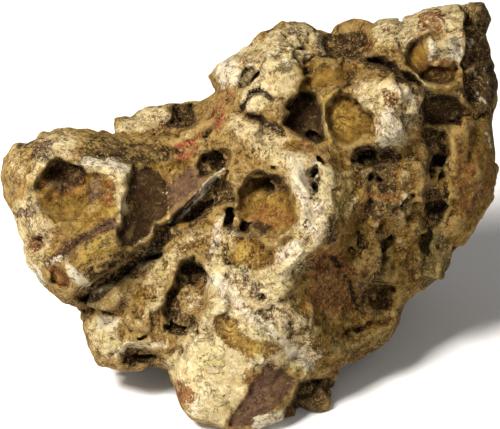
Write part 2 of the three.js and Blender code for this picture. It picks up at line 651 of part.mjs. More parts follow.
// One point in each cell that the surface crosses, and two triangles for each crossed lattice line
function surfaceOf(values) {
  const cells = [];
  for (let k = 0; k < OUT_STEPS; k += 1) {
    for (let j = 0; j < UP_STEPS; j += 1) {
      for (let i = 0; i < ACROSS_STEPS; i += 1) {
        cells.push(i + j * ROW + k * LAYER);
      }
    }
  }
  partSheets(values, cells);
  const pointOf = new Map();
  const points = [];
  for (const cell of cells) {
    const crossings = [];
    for (const [one, two] of CELL_EDGES) {
      const start = values[cell + CORNERS[one]];
      const end = values[cell + CORNERS[two]];
      if ((start < 0) !== (end < 0)) {
        const share = start / (start - end);
        const mix = (bit) => ((one & bit) ? 1 : 0) + (((two & bit) ? 1 : 0) - ((one & bit) ? 1 : 0)) * share;
        crossings.push([mix(1), mix(2), mix(4)]);
      }
    }
    if (crossings.length > 0) {
      const mean = (axis) => crossings.reduce((sum, crossing) => sum + crossing[axis], 0) / crossings.length;
      const i = cell % ROW;
      const j = Math.floor(cell / ROW) % (UP_STEPS + 1);
      const k = Math.floor(cell / LAYER);
      pointOf.set(cell, points.length);
      points.push(toRoom(latticePlace(i + mean(0), j + mean(1), k + mean(2))));
    }
  }
  const faces = [];
  const steps = [1, ROW, LAYER];
  for (const cell of cells) {
    steps.forEach((step, axis) => {
      const start = values[cell];
      const end = values[cell + step];
      if ((start < 0) === (end < 0)) {
        return;
      }
      const [second, third] = [steps[(axis + 1) % 3], steps[(axis + 2) % 3]];
      const ring = [cell, cell - second, cell - second - third, cell - third].map((key) => pointOf.get(key));
      if (start < 0) {
        ring.reverse();
      }
      faces.push([ring[0], ring[1], ring[2]], [ring[0], ring[2], ring[3]]);
    });
  }
  return { points, faces };
}

// The largest body of a surface, without specks and sealed pockets
function largestBody({ points, faces }) {
  const root = points.map((_, index) => index);
  const rootOf = (index) => {
    let at = index;
    while (root[at] !== at) {
      root[at] = root[root[at]];
      at = root[at];
    }
    return at;
  };
  for (const [one, two, three] of faces) {
    root[rootOf(two)] = rootOf(one);
    root[rootOf(three)] = rootOf(one);
  }
  const sizes = new Map();
  points.forEach((_, index) => sizes.set(rootOf(index), (sizes.get(rootOf(index)) ?? 0) + 1));
  const largest = [...sizes.entries()].sort((one, two) => two[1] - one[1])[0][0];
  const kept = new Map();
  points.forEach((_, index) => {
    if (rootOf(index) === largest) {
      kept.set(index, kept.size);
    }
  });
  return {
    vertProperties: new Float32Array([...kept.keys()].flatMap((index) => points[index])),
    triVerts: new Uint32Array(faces.filter(([one]) => kept.has(one)).flat().map((index) => kept.get(index))),
  };
}

const wasm = await Module();
wasm.setup();

function solidOf({ vertProperties, triVerts }) {
  return new wasm.Manifold(new wasm.Mesh({ numProp: 3, vertProperties, triVerts }));
}

// A block over the resting plane, which trims the underside flat
function blockOverFloor() {
  const side = 2 * FACE_WIDTH;
  const block = new THREE.BoxGeometry(side, side, side);
  block.translate(0, 0, side / 2);
  block.deleteAttribute("normal");
  block.deleteAttribute("uv");
  const merged = mergeVertices(block);
  return { vertProperties: merged.attributes.position.array, triVerts: merged.index.array };
}

function stoneMesh() {
  const whole = solidOf(largestBody(surfaceOf(latticeValues())));
  const trimmed = whole.intersect(solidOf(blockOverFloor())).getMesh();
  const geometry = new THREE.BufferGeometry();
  geometry.setAttribute("position", new THREE.BufferAttribute(trimmed.vertProperties, 3));
  geometry.setIndex(new THREE.BufferAttribute(trimmed.triVerts, 1));
  const material = new THREE.MeshStandardMaterial({ color: 0xb99a6b, roughness: 0.9, metalness: 0 });
  const mesh = new THREE.Mesh(geometry, material);
  mesh.name = "stone";
  return mesh;
}

const dragonStone = new THREE.Group();
dragonStone.add(stoneMesh());

export default dragonStone;
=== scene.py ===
import math

import bpy
import numpy as np
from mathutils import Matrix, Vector


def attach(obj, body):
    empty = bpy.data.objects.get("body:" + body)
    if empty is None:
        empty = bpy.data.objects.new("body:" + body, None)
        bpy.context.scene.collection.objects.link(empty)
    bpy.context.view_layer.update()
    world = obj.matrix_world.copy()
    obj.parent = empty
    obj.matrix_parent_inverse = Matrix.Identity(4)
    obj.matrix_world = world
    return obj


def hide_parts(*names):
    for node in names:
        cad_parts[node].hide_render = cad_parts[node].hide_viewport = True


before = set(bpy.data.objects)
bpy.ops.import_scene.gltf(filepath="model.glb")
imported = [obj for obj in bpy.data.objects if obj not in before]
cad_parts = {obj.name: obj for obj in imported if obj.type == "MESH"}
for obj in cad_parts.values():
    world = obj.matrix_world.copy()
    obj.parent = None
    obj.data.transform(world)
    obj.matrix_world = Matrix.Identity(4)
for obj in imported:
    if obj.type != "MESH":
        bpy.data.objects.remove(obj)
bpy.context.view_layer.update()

bl_info = {
    "name": "Dragon stone",
    "version": (1, 0, 0),
    "blender": (4, 5, 0),
    "location": "View3D > Sidebar > Dragon stone",
    "description": "One weathered dragon stone, with its craters, pits, ridges and patches of colour",
    "category": "Add Mesh",
}

MM = 0.001

# The stone is laid out on its face, which leans back from upright, in millimetres. "Across" runs to
# the right along the face, "up" along it from its lowest tip, and "out" stands square to it.
FACE_WIDTH = 248
FACE_HEIGHT = 214
LEAN = math.radians(30)
RESTING_HEIGHT = 9
MIDDLE_ACROSS = 125.6
MIDDLE_BACK = 60.5
SIDE_TAPER = 0.2
FRONT_OUT = 60
BACK_OUT = -125
MARGIN = 8
BENT_STEP = 2.6
UP_TO_HEIGHT = math.cos(LEAN)
OUT_TO_HEIGHT = math.sin(LEAN)

# The stone's edge as seen square to the face, clockwise from the left tip: across, up
EDGE = np.array([
    (1, 126.5), (3, 134), (8, 140.5), (16, 143), (24, 147), (32, 149.5), (42, 149.5), (56.5, 147.5),
    (59, 154), (66, 156), (72.5, 161), (86, 163), (101, 164), (108, 167.5), (106.5, 176),
    (109, 181.5), (118, 187), (126, 190), (129, 194.5), (138, 200.5), (147, 202.5), (155, 200.5),
    (161, 198.5), (172, 198.5), (182, 202), (196, 204.5), (200.5, 203), (207, 207), (211, 209.5),
    (223, 211.5), (234, 213.5), (241, 212), (245.5, 204), (243, 194.5), (247, 184), (248, 172),
    (245.5, 155), (247.5, 140), (248, 119), (243, 109), (238.5, 98), (233, 91), (226, 87),
    (224.5, 78.5), (219, 74.5), (209.5, 68.5), (201, 64.5), (198, 53), (195, 45), (188, 39.5),
    (176, 34.5), (167.5, 30.5), (166, 22.5), (158, 15), (150, 9), (141, 5.5), (128, 1.5), (118, 0),
    (110, 3), (97, 6.5), (92, 11.5), (88.5, 23), (84.5, 30), (76, 33), (71.5, 30), (62, 29.5),
    (50.5, 33), (44.5, 43), (42.5, 52), (45.5, 60.5), (35, 64), (27.5, 69.5), (22, 75),
    (14.5, 83), (13, 94), (9, 105), (3.5, 116),
])

# The broad form, taken at places on the face: across, up, how far out the front stands,
# how far back the rear wall stands, radius of the turn to the sides, roughness
SOUNDING_REACH = 11
SOUNDINGS = np.array([
    # Left arm
    (8, 122, 24, 98, 22, 0.25),
    (34, 130, 34, 108, 24, 0.3),
    (34, 100, 36, 98, 24, 0.4),
    (58, 118, 40, 110, 24, 0.3),
    (50, 96, 40, 102, 22, 0.3),
    (30, 78, 30, 94, 20, 0.5),
    (45, 143, 20, 110, 20, 0.7),
    (76, 140, 8, 112, 20, 0.6),
    (80, 112, 17, 116, 22, 0.3),
    (94, 114, 22, 118, 22, 0.2),
    # Shelf behind the arm
    (75, 160, -12, 122, 16, 0.4),
    (96, 158, -4, 124, 16, 0.5),
    (103, 145, 14, 124, 20, 0.6),
    # Upper left
    (116, 172, 10, 128, 18, 0.5),
    (136, 172, 18, 130, 20, 0.6),
    (130, 158, 20, 130, 22, 0.6),
    (147, 190, 6, 132, 18, 0.7),
    (168, 190, -4, 134, 18, 0.7),
    # Centre
    (125, 140, 30, 126, 24, 0.4),
    (118, 120, 28, 126, 24, 0.3),
    (145, 125, 38, 128, 24, 0.3),
    (156, 112, 44, 128, 24, 0.4),
    (150, 90, 45, 124, 24, 0.4),
    (128, 84, 40, 122, 24, 0.3),
    # Upper right
    (172, 158, 26, 134, 22, 0.3),
    (196, 165, 28, 136, 22, 0.4),
    (190, 148, 30, 134, 22, 0.5),
    (196, 192, 8, 138, 18, 0.5),
    (216, 182, 18, 138, 22, 0.3),
    (236, 200, 8, 138, 18, 0.4),
    (242, 172, 2, 136, 20, 0.4),
    (220, 156, 8, 136, 22, 0.6),
    # Right side
    (190, 122, 22, 130, 24, 0.6),
    (208, 125, 14, 130, 24, 0.6),
    (236, 130, 6, 130, 24, 0.3),
    (240, 110, -2, 128, 22, 0.5),
    (216, 100, 2, 128, 20, 0.6),
    (218, 84, -14, 120, 16, 0.2),
    (186, 98, 18, 126, 22, 0.6),
    # Lower right
    (168, 78, 30, 120, 22, 0.5),
    (186, 62, 8, 116, 20, 0.45),
    (200, 78, -2, 120, 20, 0.55),
    (168, 48, 18, 112, 20, 0.45),
    (186, 48, -2, 110, 18, 0.45),
    # Foot
    (150, 58, 38, 112, 24, 0.5),
    (128, 56, 42, 112, 24, 0.3),
    (105, 50, 40, 108, 22, 0.2),
    (105, 25, 36, 100, 18, 0.2),
    (130, 24, 36, 100, 18, 0.3),
    (118, 8, 30, 92, 14, 0.2),
    (152, 24, 16, 100, 14, 0.4),
    # Lower left
    (98, 88, 25, 114, 22, 0.45),
    (78, 74, 21, 108, 20, 0.55),
    (62, 66, 17, 102, 18, 0.35),
    (60, 46, 16, 100, 18, 0.45),
    (80, 48, 24, 104, 20, 0.45),
])

# Ridges, grooves and steps along a line on the face. Walking along the line, each side rises or
# drops by its lift and dies away over its reach: name, left lift, reach, right lift, reach, points
CREASES = [
    ("arm seam", 1.6, 3, 2.2, 3, [(19, 142.5), (14, 131.5), (17.5, 121.5), (15, 114), (6, 108)]),
    ("arm crater rim", 2, 4, 2, 3.5, [(24, 131), (20, 124), (20.5, 117), (23.5, 110)]),
    ("arm arete", -4, 7, 3, 9, [(67, 134), (66.5, 121.5), (65, 114), (62, 106.5), (61, 96.5), (62.5, 89)]),
    ("arm fold", -3, 9, -3, 9, [(80, 131), (84, 120), (84.5, 110), (83, 103)]),
    ("arm ledge", -2, 2, -2.5, 1.2, [(38.6, 79.4), (46, 83), (55, 85.6), (66, 88.3)]),
    ("arm ledge below", -2, 1.2, -2, 1.2, [(41, 76.5), (50, 80), (58, 83), (66, 86.3)]),
    ("arm band", -2.5, 5, -2.5, 5, [(25, 80), (32.5, 88), (42.5, 94), (50, 101.5), (60, 106.5)]),
    ("arm ridge", 4.5, 2.6, 4.5, 2.6, [(29, 83), (34, 86.5), (37.5, 81.5), (42.5, 75), (47, 74)]),
    ("arm lower edge", 4, 9, -13, 18, [(33, 63), (42.5, 71), (57.5, 80), (67.5, 86.5), (75, 93), (80, 103)]),
    ("arm top edge", -7, 10, 3, 8, [(54, 147), (66, 145), (80, 144), (92, 148), (104, 156)]),
    ("streaked ridge", 3, 3.2, 3, 3.2, [(84, 141), (100, 149), (112.5, 156.5), (117.5, 164)]),
    ("streaked ridge below", 2.6, 3.2, 2.6, 3.2, [(90, 136.5), (105, 144), (117.5, 153), (122.5, 160)]),
    ("knot seam", -4.5, 1.8, -4.5, 1.8, [
        (118.5, 155.5), (123.5, 161.5), (125, 166), (129, 167.5), (139, 161)]),
    ("knot groove", -4.5, 2, -4.5, 2, [(122.5, 157.5), (131, 153.5), (137.5, 150), (143.5, 145)]),
    ("ledge overhang", -4, 3, 2, 6, [(149, 180), (153.5, 183), (160, 184.5), (172, 182)]),
    ("bowl rim", 4.5, 2, 4, 3, [
        (172, 168), (165, 164), (161.5, 158), (160.5, 151.5), (162.5, 145), (167, 140)]),
    ("bowl crack", -3.5, 1.3, -3.5, 1.3, [(176, 176), (172.5, 170), (167.5, 165.5)]),
    ("crevice", -8, 2.6, -8, 2.6, [(179, 183), (190, 181.5), (197.5, 176.5), (205, 170), (213, 165.5)]),
    ("crater lip", 5, 3, 5, 3, [
        (200.5, 182.5), (204, 175), (208, 170.5), (213, 168), (221, 167.7), (230, 171.5)]),
    ("crater brow", -4, 1.6, 2, 5, [(207, 194), (213, 196), (220, 195), (230, 197)]),
    ("right edge", -9, 14, 3, 8, [(231, 212), (230, 195), (229, 180), (232, 166), (236, 158)]),
    ("right crack", -4, 1.2, -4, 1.2, [(219, 151), (227.5, 153), (235, 156), (239, 154.5), (247, 157.5)]),
    ("blade", -12, 9, 4.5, 10, [(114.5, 129), (106.5, 122.5), (92.5, 110.5), (85, 104), (80, 100)]),
    ("bowl left rim", 3, 2.5, 2, 3, [(121, 124), (120.5, 115), (119.5, 104)]),
    ("bowl lip", 3.5, 2, 3.5, 2, [(128, 94), (136, 94), (142.5, 99), (148, 103)]),
    ("crest", 6, 7, 6, 7, [
        (142.5, 139), (150, 121.5), (157.5, 114), (161, 106.5), (159, 94), (150, 86.5), (140, 79),
        (140, 66)]),
    ("foot crease", -8, 9, 2.5, 8, [(168, 31), (161, 27.5), (150, 25), (145, 16.5), (139, 7)]),
    ("lower rim", 4.5, 4, 4.5, 4, [(150, 42), (163, 37), (178, 41), (193, 50), (198, 60)]),
    ("right ridge", 2.5, 3.5, 2.5, 3.5, [(197.5, 88), (198, 70), (196, 54)]),
    ("side line", -3, 1.5, -3, 1.5, [(194, 89), (189, 83), (186, 74)]),
    ("bowl ridge", 3, 1.8, 3, 1.8, [(180, 86), (187, 77), (181, 72), (177, 64)]),
    ("bowl furrow", -3, 2, -3, 2, [(164, 90), (168, 80), (175, 73), (177, 60)]),
    ("bowl thread", 2.5, 1.5, 2.5, 1.5, [(160, 62), (168, 54), (180, 52), (188, 58)]),
    ("lobe rim", 3.5, 2.5, 3.5, 2.5, [(49, 36), (58, 34.5), (64, 43), (76, 44), (86, 40)]),
    ("side crest", 3.5, 6, 3.5, 6, [(206, 152), (209, 138), (207, 122), (208, 104), (205, 90)]),
    ("first flute", 2.5, 4, 2.5, 4, [(168, 128), (171, 118), (173, 106), (172, 96)]),
    ("second flute", 3, 4, 3, 4, [(200, 136), (198, 120), (201, 106), (199, 92)]),
    ("third flute", 1.5, 3.5, 1.5, 3.5, [(177, 104), (180, 112), (181, 124)]),
    ("fourth flute", 2.5, 3.5, 2.5, 3.5, [(184, 100), (186, 90), (184, 78)]),
    ("fifth flute", 2.5, 3.5, 2.5, 3.5, [(192, 72), (194, 84), (193, 98)]),
    ("right body edge", 3, 4, 3, 6, [(222, 150), (224, 140), (226, 128), (228, 116), (226, 104), (224, 96)]),
    ("foot left edge", 3, 4, -3, 6, [(104, 84), (106, 72), (102, 52), (92, 38), (88, 22)]),
]

# The reach, in millimetres, up to which a crease is so sharp that it has a colour of its own
NARROW = 3

# Flats and hollows with an outline on the face. Inside the outline the face moves by the lift, tilted by
# the slopes, and the edge is so wide: name, lift, slope across, slope up, edge width, roughness, points
PLANES = [
    ("arm face", -3, 0.1, -0.1, 2.5, 0.2, [
        (20.5, 122), (23, 128), (29, 133), (34, 134), (40, 131), (46, 128), (53, 129), (60, 128),
        (64, 122), (63, 110), (60, 104), (50, 101), (42, 97), (36, 98), (30, 102), (24, 110), (20.5, 117)]),
    ("arm flat", -1.5, 0, 0, 1.5, 0.05, [
        (67, 130), (74, 129), (81, 130), (85, 124), (91, 128), (97, 131), (103, 129), (107, 124),
        (99, 114), (93, 108), (88, 102), (83, 103), (79, 103), (75, 97), (67, 90.5), (62, 91), (60, 95),
        (60, 101), (62, 106), (66, 109), (66.5, 118)]),
    ("boss face", 0.5, 0, 0, 2, 0.05, [(48, 70), (56, 76), (64, 78), (66, 70), (60, 62), (52, 60), (48, 64)]),
    ("ledge", 0.5, 0, 0, 2, 0.12, [
        (151, 170), (154, 178), (162, 181), (172, 180), (176, 175), (170, 170), (160, 168)]),
    ("arm band", -1.2, 0, 0, 1, 0.1, [
        (25, 80), (30, 88), (36, 92), (42, 96), (50, 101), (60, 105), (61, 99), (50, 96), (43, 92),
        (38, 86), (34, 84), (29, 83)]),
    ("arm hollow", -4.5, 0, 0, 1.5, 0.3, [
        (27, 80), (31, 84), (35, 81), (38, 75), (36, 70), (31, 70), (27, 74)]),
    ("arm undercut", -6, 0, 0.15, 2, 0.4, [
        (37, 64), (45, 69), (55, 75), (64, 82), (71, 88), (79, 97), (83, 100), (86, 96), (80, 89),
        (72, 82), (66, 77), (57, 71), (48, 64)]),
    ("cavity", -9, 0, -0.12, 3, 0.5, [
        (92, 84), (97, 85), (104, 81), (105, 72), (104, 62), (99, 53), (90, 49), (84, 50), (82, 57),
        (85, 66), (88, 76)]),
    ("central bowl", -8, 0, -0.3, 2.5, 0.15, [
        (119, 118), (124, 124), (131, 128), (138, 127), (143, 121), (146, 115), (149, 108), (148, 101),
        (143, 98), (137, 96), (131, 97), (126, 99), (119, 100), (118, 108)]),
    ("ochre bowl", -3.5, 0, 0.1, 2.5, 0.6, [
        (110, 88), (112, 96), (118, 98), (126, 97), (131, 93), (137, 90), (139, 85), (132, 82), (125, 81),
        (118, 80), (112, 83)]),
    ("kidney", -2.2, 0, -0.05, 3.5, 0.12, [
        (107, 58), (113, 60), (119, 56), (122, 49), (130, 46), (139, 45), (141, 41), (134, 38), (124, 37),
        (117, 42), (110, 47), (106, 52)]),
    ("lower bowl", -8, -0.15, -0.05, 7, 0.45, [
        (143, 80), (150, 88), (160, 91), (168, 92), (176, 89), (178, 80), (180, 74), (196, 72), (198, 60),
        (194, 50), (180, 43), (165, 42), (158, 52), (154, 62), (148, 70)]),
    ("lower bowl deep", -4, -0.1, -0.3, 3, 0.35, [
        (178, 76), (190, 76), (197, 70), (197, 60), (188, 58), (178, 62)]),
    ("dark hollow", -15, -0.35, 0, 2.5, 0.1, [
        (141, 160), (150, 169), (158, 166), (160, 158), (161, 150), (163, 142), (158, 141), (152, 144),
        (146, 147), (141, 151)]),
    ("round bowl", -8, -0.1, -0.2, 3, 0.12, [
        (161, 150), (160.5, 158), (163, 164), (168, 167), (175, 166), (181, 161), (186, 155), (187, 149),
        (184, 144), (178, 140.5), (170, 140.5), (165, 141.5)]),
    ("saddle", -8, 0, 0.1, 3, 0.5, [
        (159, 200), (161, 192), (163, 186), (170, 183), (178, 182), (185, 186), (187, 191), (184, 197),
        (180, 203), (165, 202)]),
    ("right crater", -9, 0, 0.3, 3, 0.12, [
        (202, 186), (204, 191), (209, 195), (216, 196), (224, 195), (229, 191), (230.5, 184), (230, 177),
        (226, 172), (219, 170), (211, 171), (205, 175), (202, 180)]),
    ("right recess", -8, 0.15, -0.3, 2.5, 0.2, [
        (209, 165), (218, 166.5), (228, 164), (233, 158), (229, 151), (218, 150), (211, 150), (208, 157)]),
    ("crevice", -8, 0, 0, 2, 0.3, [
        (181, 185), (190, 184), (199, 178), (207, 172), (216, 166), (211, 163), (203, 168), (194, 176),
        (187, 180)]),
    ("upper hollow", -5, 0.2, 0, 1.5, 0.3, [
        (120, 168), (119, 174), (122, 180), (128, 181), (130, 176), (128, 171), (124, 169)]),
    ("knots", 0.8, 0, 0, 2, 0.15, [
        (119, 156), (122, 166), (130, 169), (130, 181), (140, 184), (149, 176), (150, 169), (139, 161),
        (141, 152), (132, 152)]),
    ("shelf hollow", -7, -0.3, 0, 1.5, 0.3, [
        (85, 149), (85, 160), (88, 163), (96, 161), (98, 152), (92, 149)]),
    ("centre hole", -9, -0.3, 0, 2, 0.4, [
        (100, 125), (99, 132), (103, 136), (109, 138), (114, 135), (114, 130), (109, 126), (104, 124)]),
    ("blade gap", -5, 0, 0.25, 2.5, 0.5, [
        (90, 103), (97, 111), (106, 119), (112, 124), (118, 121), (118, 113), (112, 112), (104, 106),
        (96, 101)]),
    ("middle pit", -7, 0, -0.3, 3, 0.5, [
        (174, 133), (177, 139), (184, 141), (192, 139), (198, 136), (197, 131), (190, 129), (181, 129)]),
    ("right channel", -6, -0.2, 0, 2.5, 0.5, [
        (210, 150), (221, 150), (223, 140), (222, 128), (224, 116), (221, 104), (216, 98), (208, 100),
        (210, 112), (212, 125), (211, 138)]),
    ("right body", 1, 0, 0, 2, 0.3, [
        (224, 150), (232, 153), (244, 155), (247, 140), (247, 120), (240, 104), (231, 100), (228, 112),
        (224, 130)]),
    ("pocket", -5, 0, -0.2, 3, 0.4, [(152, 128), (158, 132), (160, 126), (159, 118), (156, 113), (153, 117)]),
    ("lobe pit", -6, 0, -0.3, 3, 0.4, [(60, 41), (70, 42), (80, 40), (84, 36), (78, 32), (66, 31), (60, 34)]),
    ("foot face", 0, 0, 0, 4, 0.04, [
        (92, 24), (95, 10), (110, 4), (118, 12), (124, 22), (127, 33), (118, 37), (110, 43), (104, 50),
        (98, 44), (88, 34)]),
    ("plum flat", -1.2, 0.05, 0, 1, 0.05, [
        (113, 2), (118, 12), (124, 20), (128, 28), (133, 33), (139, 33), (145, 28), (149, 25), (143, 20),
        (140, 14), (132, 10), (125, 5)]),
    ("foot lobe", -7, 0, 0, 2, 0.4, [
        (150, 26), (158, 25), (166, 26), (166, 18), (158, 12), (148, 8), (145, 14)]),
]

# Lumps and pits, as eggs set at the face: name, across, up, how deep the middle is sunk,
# half sizes across, up and out, turn in degrees, width of the soft edge
LUMPS = [
    ("arm fleck", 27, 103, 0, 3, 2, 2, -30, 2),
    ("pink lump", 140.5, 172, 2, 11.5, 12.5, 9, 10, 4),
    ("cream knot", 130.5, 160.5, 1, 6.2, 5.4, 5, 0, 2),
    ("tan knot", 139, 156, 1, 5, 4.5, 5, 0, 2),
    ("ledge", 162.5, 174, 3, 14, 7, 7, 8, 4),
    ("white knot", 191, 150, 0, 6, 7.5, 7, 0, 3),
    ("cream lump", 193, 163, 2, 15, 10, 10, -10, 4),
    ("upper rim lump", 178, 199, 2, 10, 5, 7, 10, 3),
    ("crater streak", 214, 189, 0, 3, 5, 3, 10, 3),
    ("pit bump", 214, 167, 1, 3, 2, 3, 0, 1.5),
    ("side boss", 218, 122, 1, 6, 4, 5, 0, 2),
    ("side lobe", 218, 86, 3, 8, 13, 10, 0, 4),
    ("middle lumps", 191, 116, 2, 7, 4, 4, 10, 3),
    ("brown lump", 185, 86, 2, 3.5, 6.5, 4, 8, 3),
    ("bridge", 133, 126.5, 2, 6, 1.3, 2, 18, 1),
    ("ring knob", 112, 62.5, 1, 4.5, 3, 3.4, 10, 1.5),
    ("foot lobe", 156, 17, 1, 8.5, 8, 8, 30, 3),
    ("tan boss", 60, 67, 4, 12, 9, 9, 25, 4),
    ("cream boss", 74, 55, 2, 8, 7, 7, 0, 3),
]
PITS = [
    ("arm crater", 34.5, 118, -1, 14, 15, 12, -12, 3),
    ("arm crater deep", 34, 124.5, 2, 11.5, 8.5, 12, -10, 2),
    ("arm nick", 28, 81, 1, 5, 1.4, 4, 35, 0.5),
    ("arm spot", 22, 92, 0, 4, 4.6, 3, 0, 1.5),
    ("arm undercut", 48, 69, 5, 13, 3, 8, 28, 1),
    ("arm undercut inner", 77, 88, 6, 15, 3.4, 11, 47, 1),
    ("shelf pit", 91, 157, 1, 5, 5, 5, 0, 2),
    ("upper cleft", 128.5, 176, 2, 2.6, 5.5, 6, -10, 1),
    ("hill patch", 147.5, 197, 0, 6.5, 3.5, 2, 5, 1),
    ("hill hole", 151, 185, 1, 4.4, 2.6, 5, -20, 1),
    ("dark hollow foot", 157.5, 144.5, 2, 6, 3.4, 8, -38, 1),
    ("right crater pocket", 217, 175, 0, 9, 4, 4, 0, 4),
    ("right diagonal", 231, 164, 0, 3, 7.5, 5, 32, 1),
    ("right pit", 217, 134, 1, 5.6, 5.4, 7, 0, 1),
    ("right pit below", 217, 112, 1, 6.2, 6.2, 8, 8, 1),
    ("lobe spot", 211, 92, 1, 3, 6.5, 5, 0, 1),
    ("edge notch", 228.5, 89.5, 0, 3, 1.6, 6, 0, 0.7),
    ("tiny hole", 201.5, 97.5, 1, 1.6, 1.8, 4, 0, 0.7),
    ("middle pit deep", 183, 135, 2, 7.5, 3.6, 6, -8, 2),
    ("middle diagonal", 184, 122, 1, 3.4, 7.5, 4, 14, 2),
    ("middle pit right", 191.5, 124, 1, 5, 3.4, 4, 0, 1),
    ("pocket deep", 155.5, 124, 1, 3.6, 6, 6, 8, 1),
    ("black hole", 158.5, 133.5, 3, 3.6, 2.2, 7, 0, 0.7),
    ("narrow slit", 164.5, 99.5, 1, 1.8, 7.5, 5, -3, 0.7),
    ("slit", 179.5, 94, 1, 2.6, 6, 3.5, 25, 2),
    ("side slit", 190, 88, 1, 2.4, 9, 4, -14, 2),
    ("centre hole deep", 109.5, 132, 1, 4.4, 5, 8, -20, 1),
    ("blade gap deep", 105.4, 111.2, 1, 13, 2.4, 7, 42, 1),
    ("keyhole", 114.5, 105, 5, 3.6, 3.4, 12, 0, 1),
    ("keyhole top", 115, 109.5, 4, 2.6, 3.4, 11, 0, 0.7),
    ("central pocket", 133.5, 121, 3, 8, 4.6, 7, 10, 2),
    ("top hole", 135.5, 130.5, 1, 3.8, 2.4, 6, 15, 1),
    ("central band", 122, 100, 2, 8, 2.6, 4, 12, 2),
    ("ochre bowl rim", 114, 84, 1, 1.6, 6, 3, 40, 1),
    ("cavity top", 96, 79, 1, 7.5, 5, 8, -10, 2),
    ("cavity crescent", 91.5, 51, 2, 7.5, 2.2, 9, 10, 1),
    ("small hole", 71.5, 72.5, 1, 1.8, 3, 5, 30, 0.7),
    ("pin hole", 83, 74.5, 1, 1.2, 1.6, 4, 0, 0.5),
    ("lobe pit deep", 74, 37, 1, 8.5, 3.6, 8, 4, 1.5),
    ("lobe hollow", 64, 50, 1, 9, 5, 3, -25, 2),
]

# How far the deeper parts of a pit are moved up the face, for each millimetre of depth
PIT_SLANT = 0.45

# Pits on the sides and the back, which the face hides. They are set by the golden angle round the
# stone's heart: how many, least size, how much more by chance, how far to the viewer they may point
HIDDEN_PITS = (
    (60, 6, 8, 0.05),
    (360, 1.2, 3.2, -0.15),
)
HIDDEN_PIT_SOFT = 2
HIDDEN_PIT_SLIMMEST = 0.6
LOWEST_POINTING = -0.45
GOLDEN_ANGLE = math.pi * (3 - math.sqrt(5))
HEART = np.array((128, 112, -22))
HEART_RADIUS = 20

# How rims and edges wander and break into angles: size of the swells or facets, seed of their chances,
# how far they move a place. The face's creases and planes are bent as at one level of out
WANDER_ACROSS = ((15, 21, 0.7), (6, 22, 1.1))
WANDER_UP = ((15, 23, 0.7), (6, 24, 1.1))
WANDER_OUT = ((8, 25, 1.2),)
SHATTER_ACROSS = ((10, 51, 2.6),)
SHATTER_UP = ((10, 57, 2.6),)
PATCH_WANDER_ACROSS = ((6, 40, 1.2),)
PATCH_WANDER_UP = ((6, 41, 1.2),)
BEND_OUT = 30.0

# The relief of the skin, which reaches so deep. The rows are of the same kind, and their last number is
# how tall the relief is. The grain is the taller the rougher the rock
SKIN_DEPTH = 6.5
BOWL_RELIEF = ((22, 3, 3.2), (9.5, 9, 1.3))
FACET_RELIEF = ((15, 31, 7), (7, 41, 3.6), (3.4, 45, 0.7))
COMBED_RELIEF = ((7, 61, 1.7), (3.2, 62, 0.9))
SLOW_RELIEF = ((17, 1, 1.3),)
HIDDEN_SIZE, HIDDEN_SEED, HIDDEN_HEIGHT = 48, 8, 7
KNOT_SIZE, KNOT_SEED, KNOT_HEIGHT = 6, 2, 0.35
GRAIN_SIZE, GRAIN_SEED, GRAIN_LEAST, GRAIN_MORE = 2.9, 5, 0.1, 0.4

# Where the relief is strong. The hidden sides are rough throughout: they start at a share of the turn
# behind the front and are full so much farther back. The flanks are smoother: they lie between two
# distances from the face's edge, negative inside, and between two distances from the front
LEAST_ROUGHNESS = 0.1
HIDDEN_ROUGHNESS = 0.6
HIDDEN_START = 0.8
HIDDEN_FADE = 20
FLANK_EDGE = (-12, -4)
FLANK_OUT = (-35, -15)
FLANK_SMOOTHING = 0.6

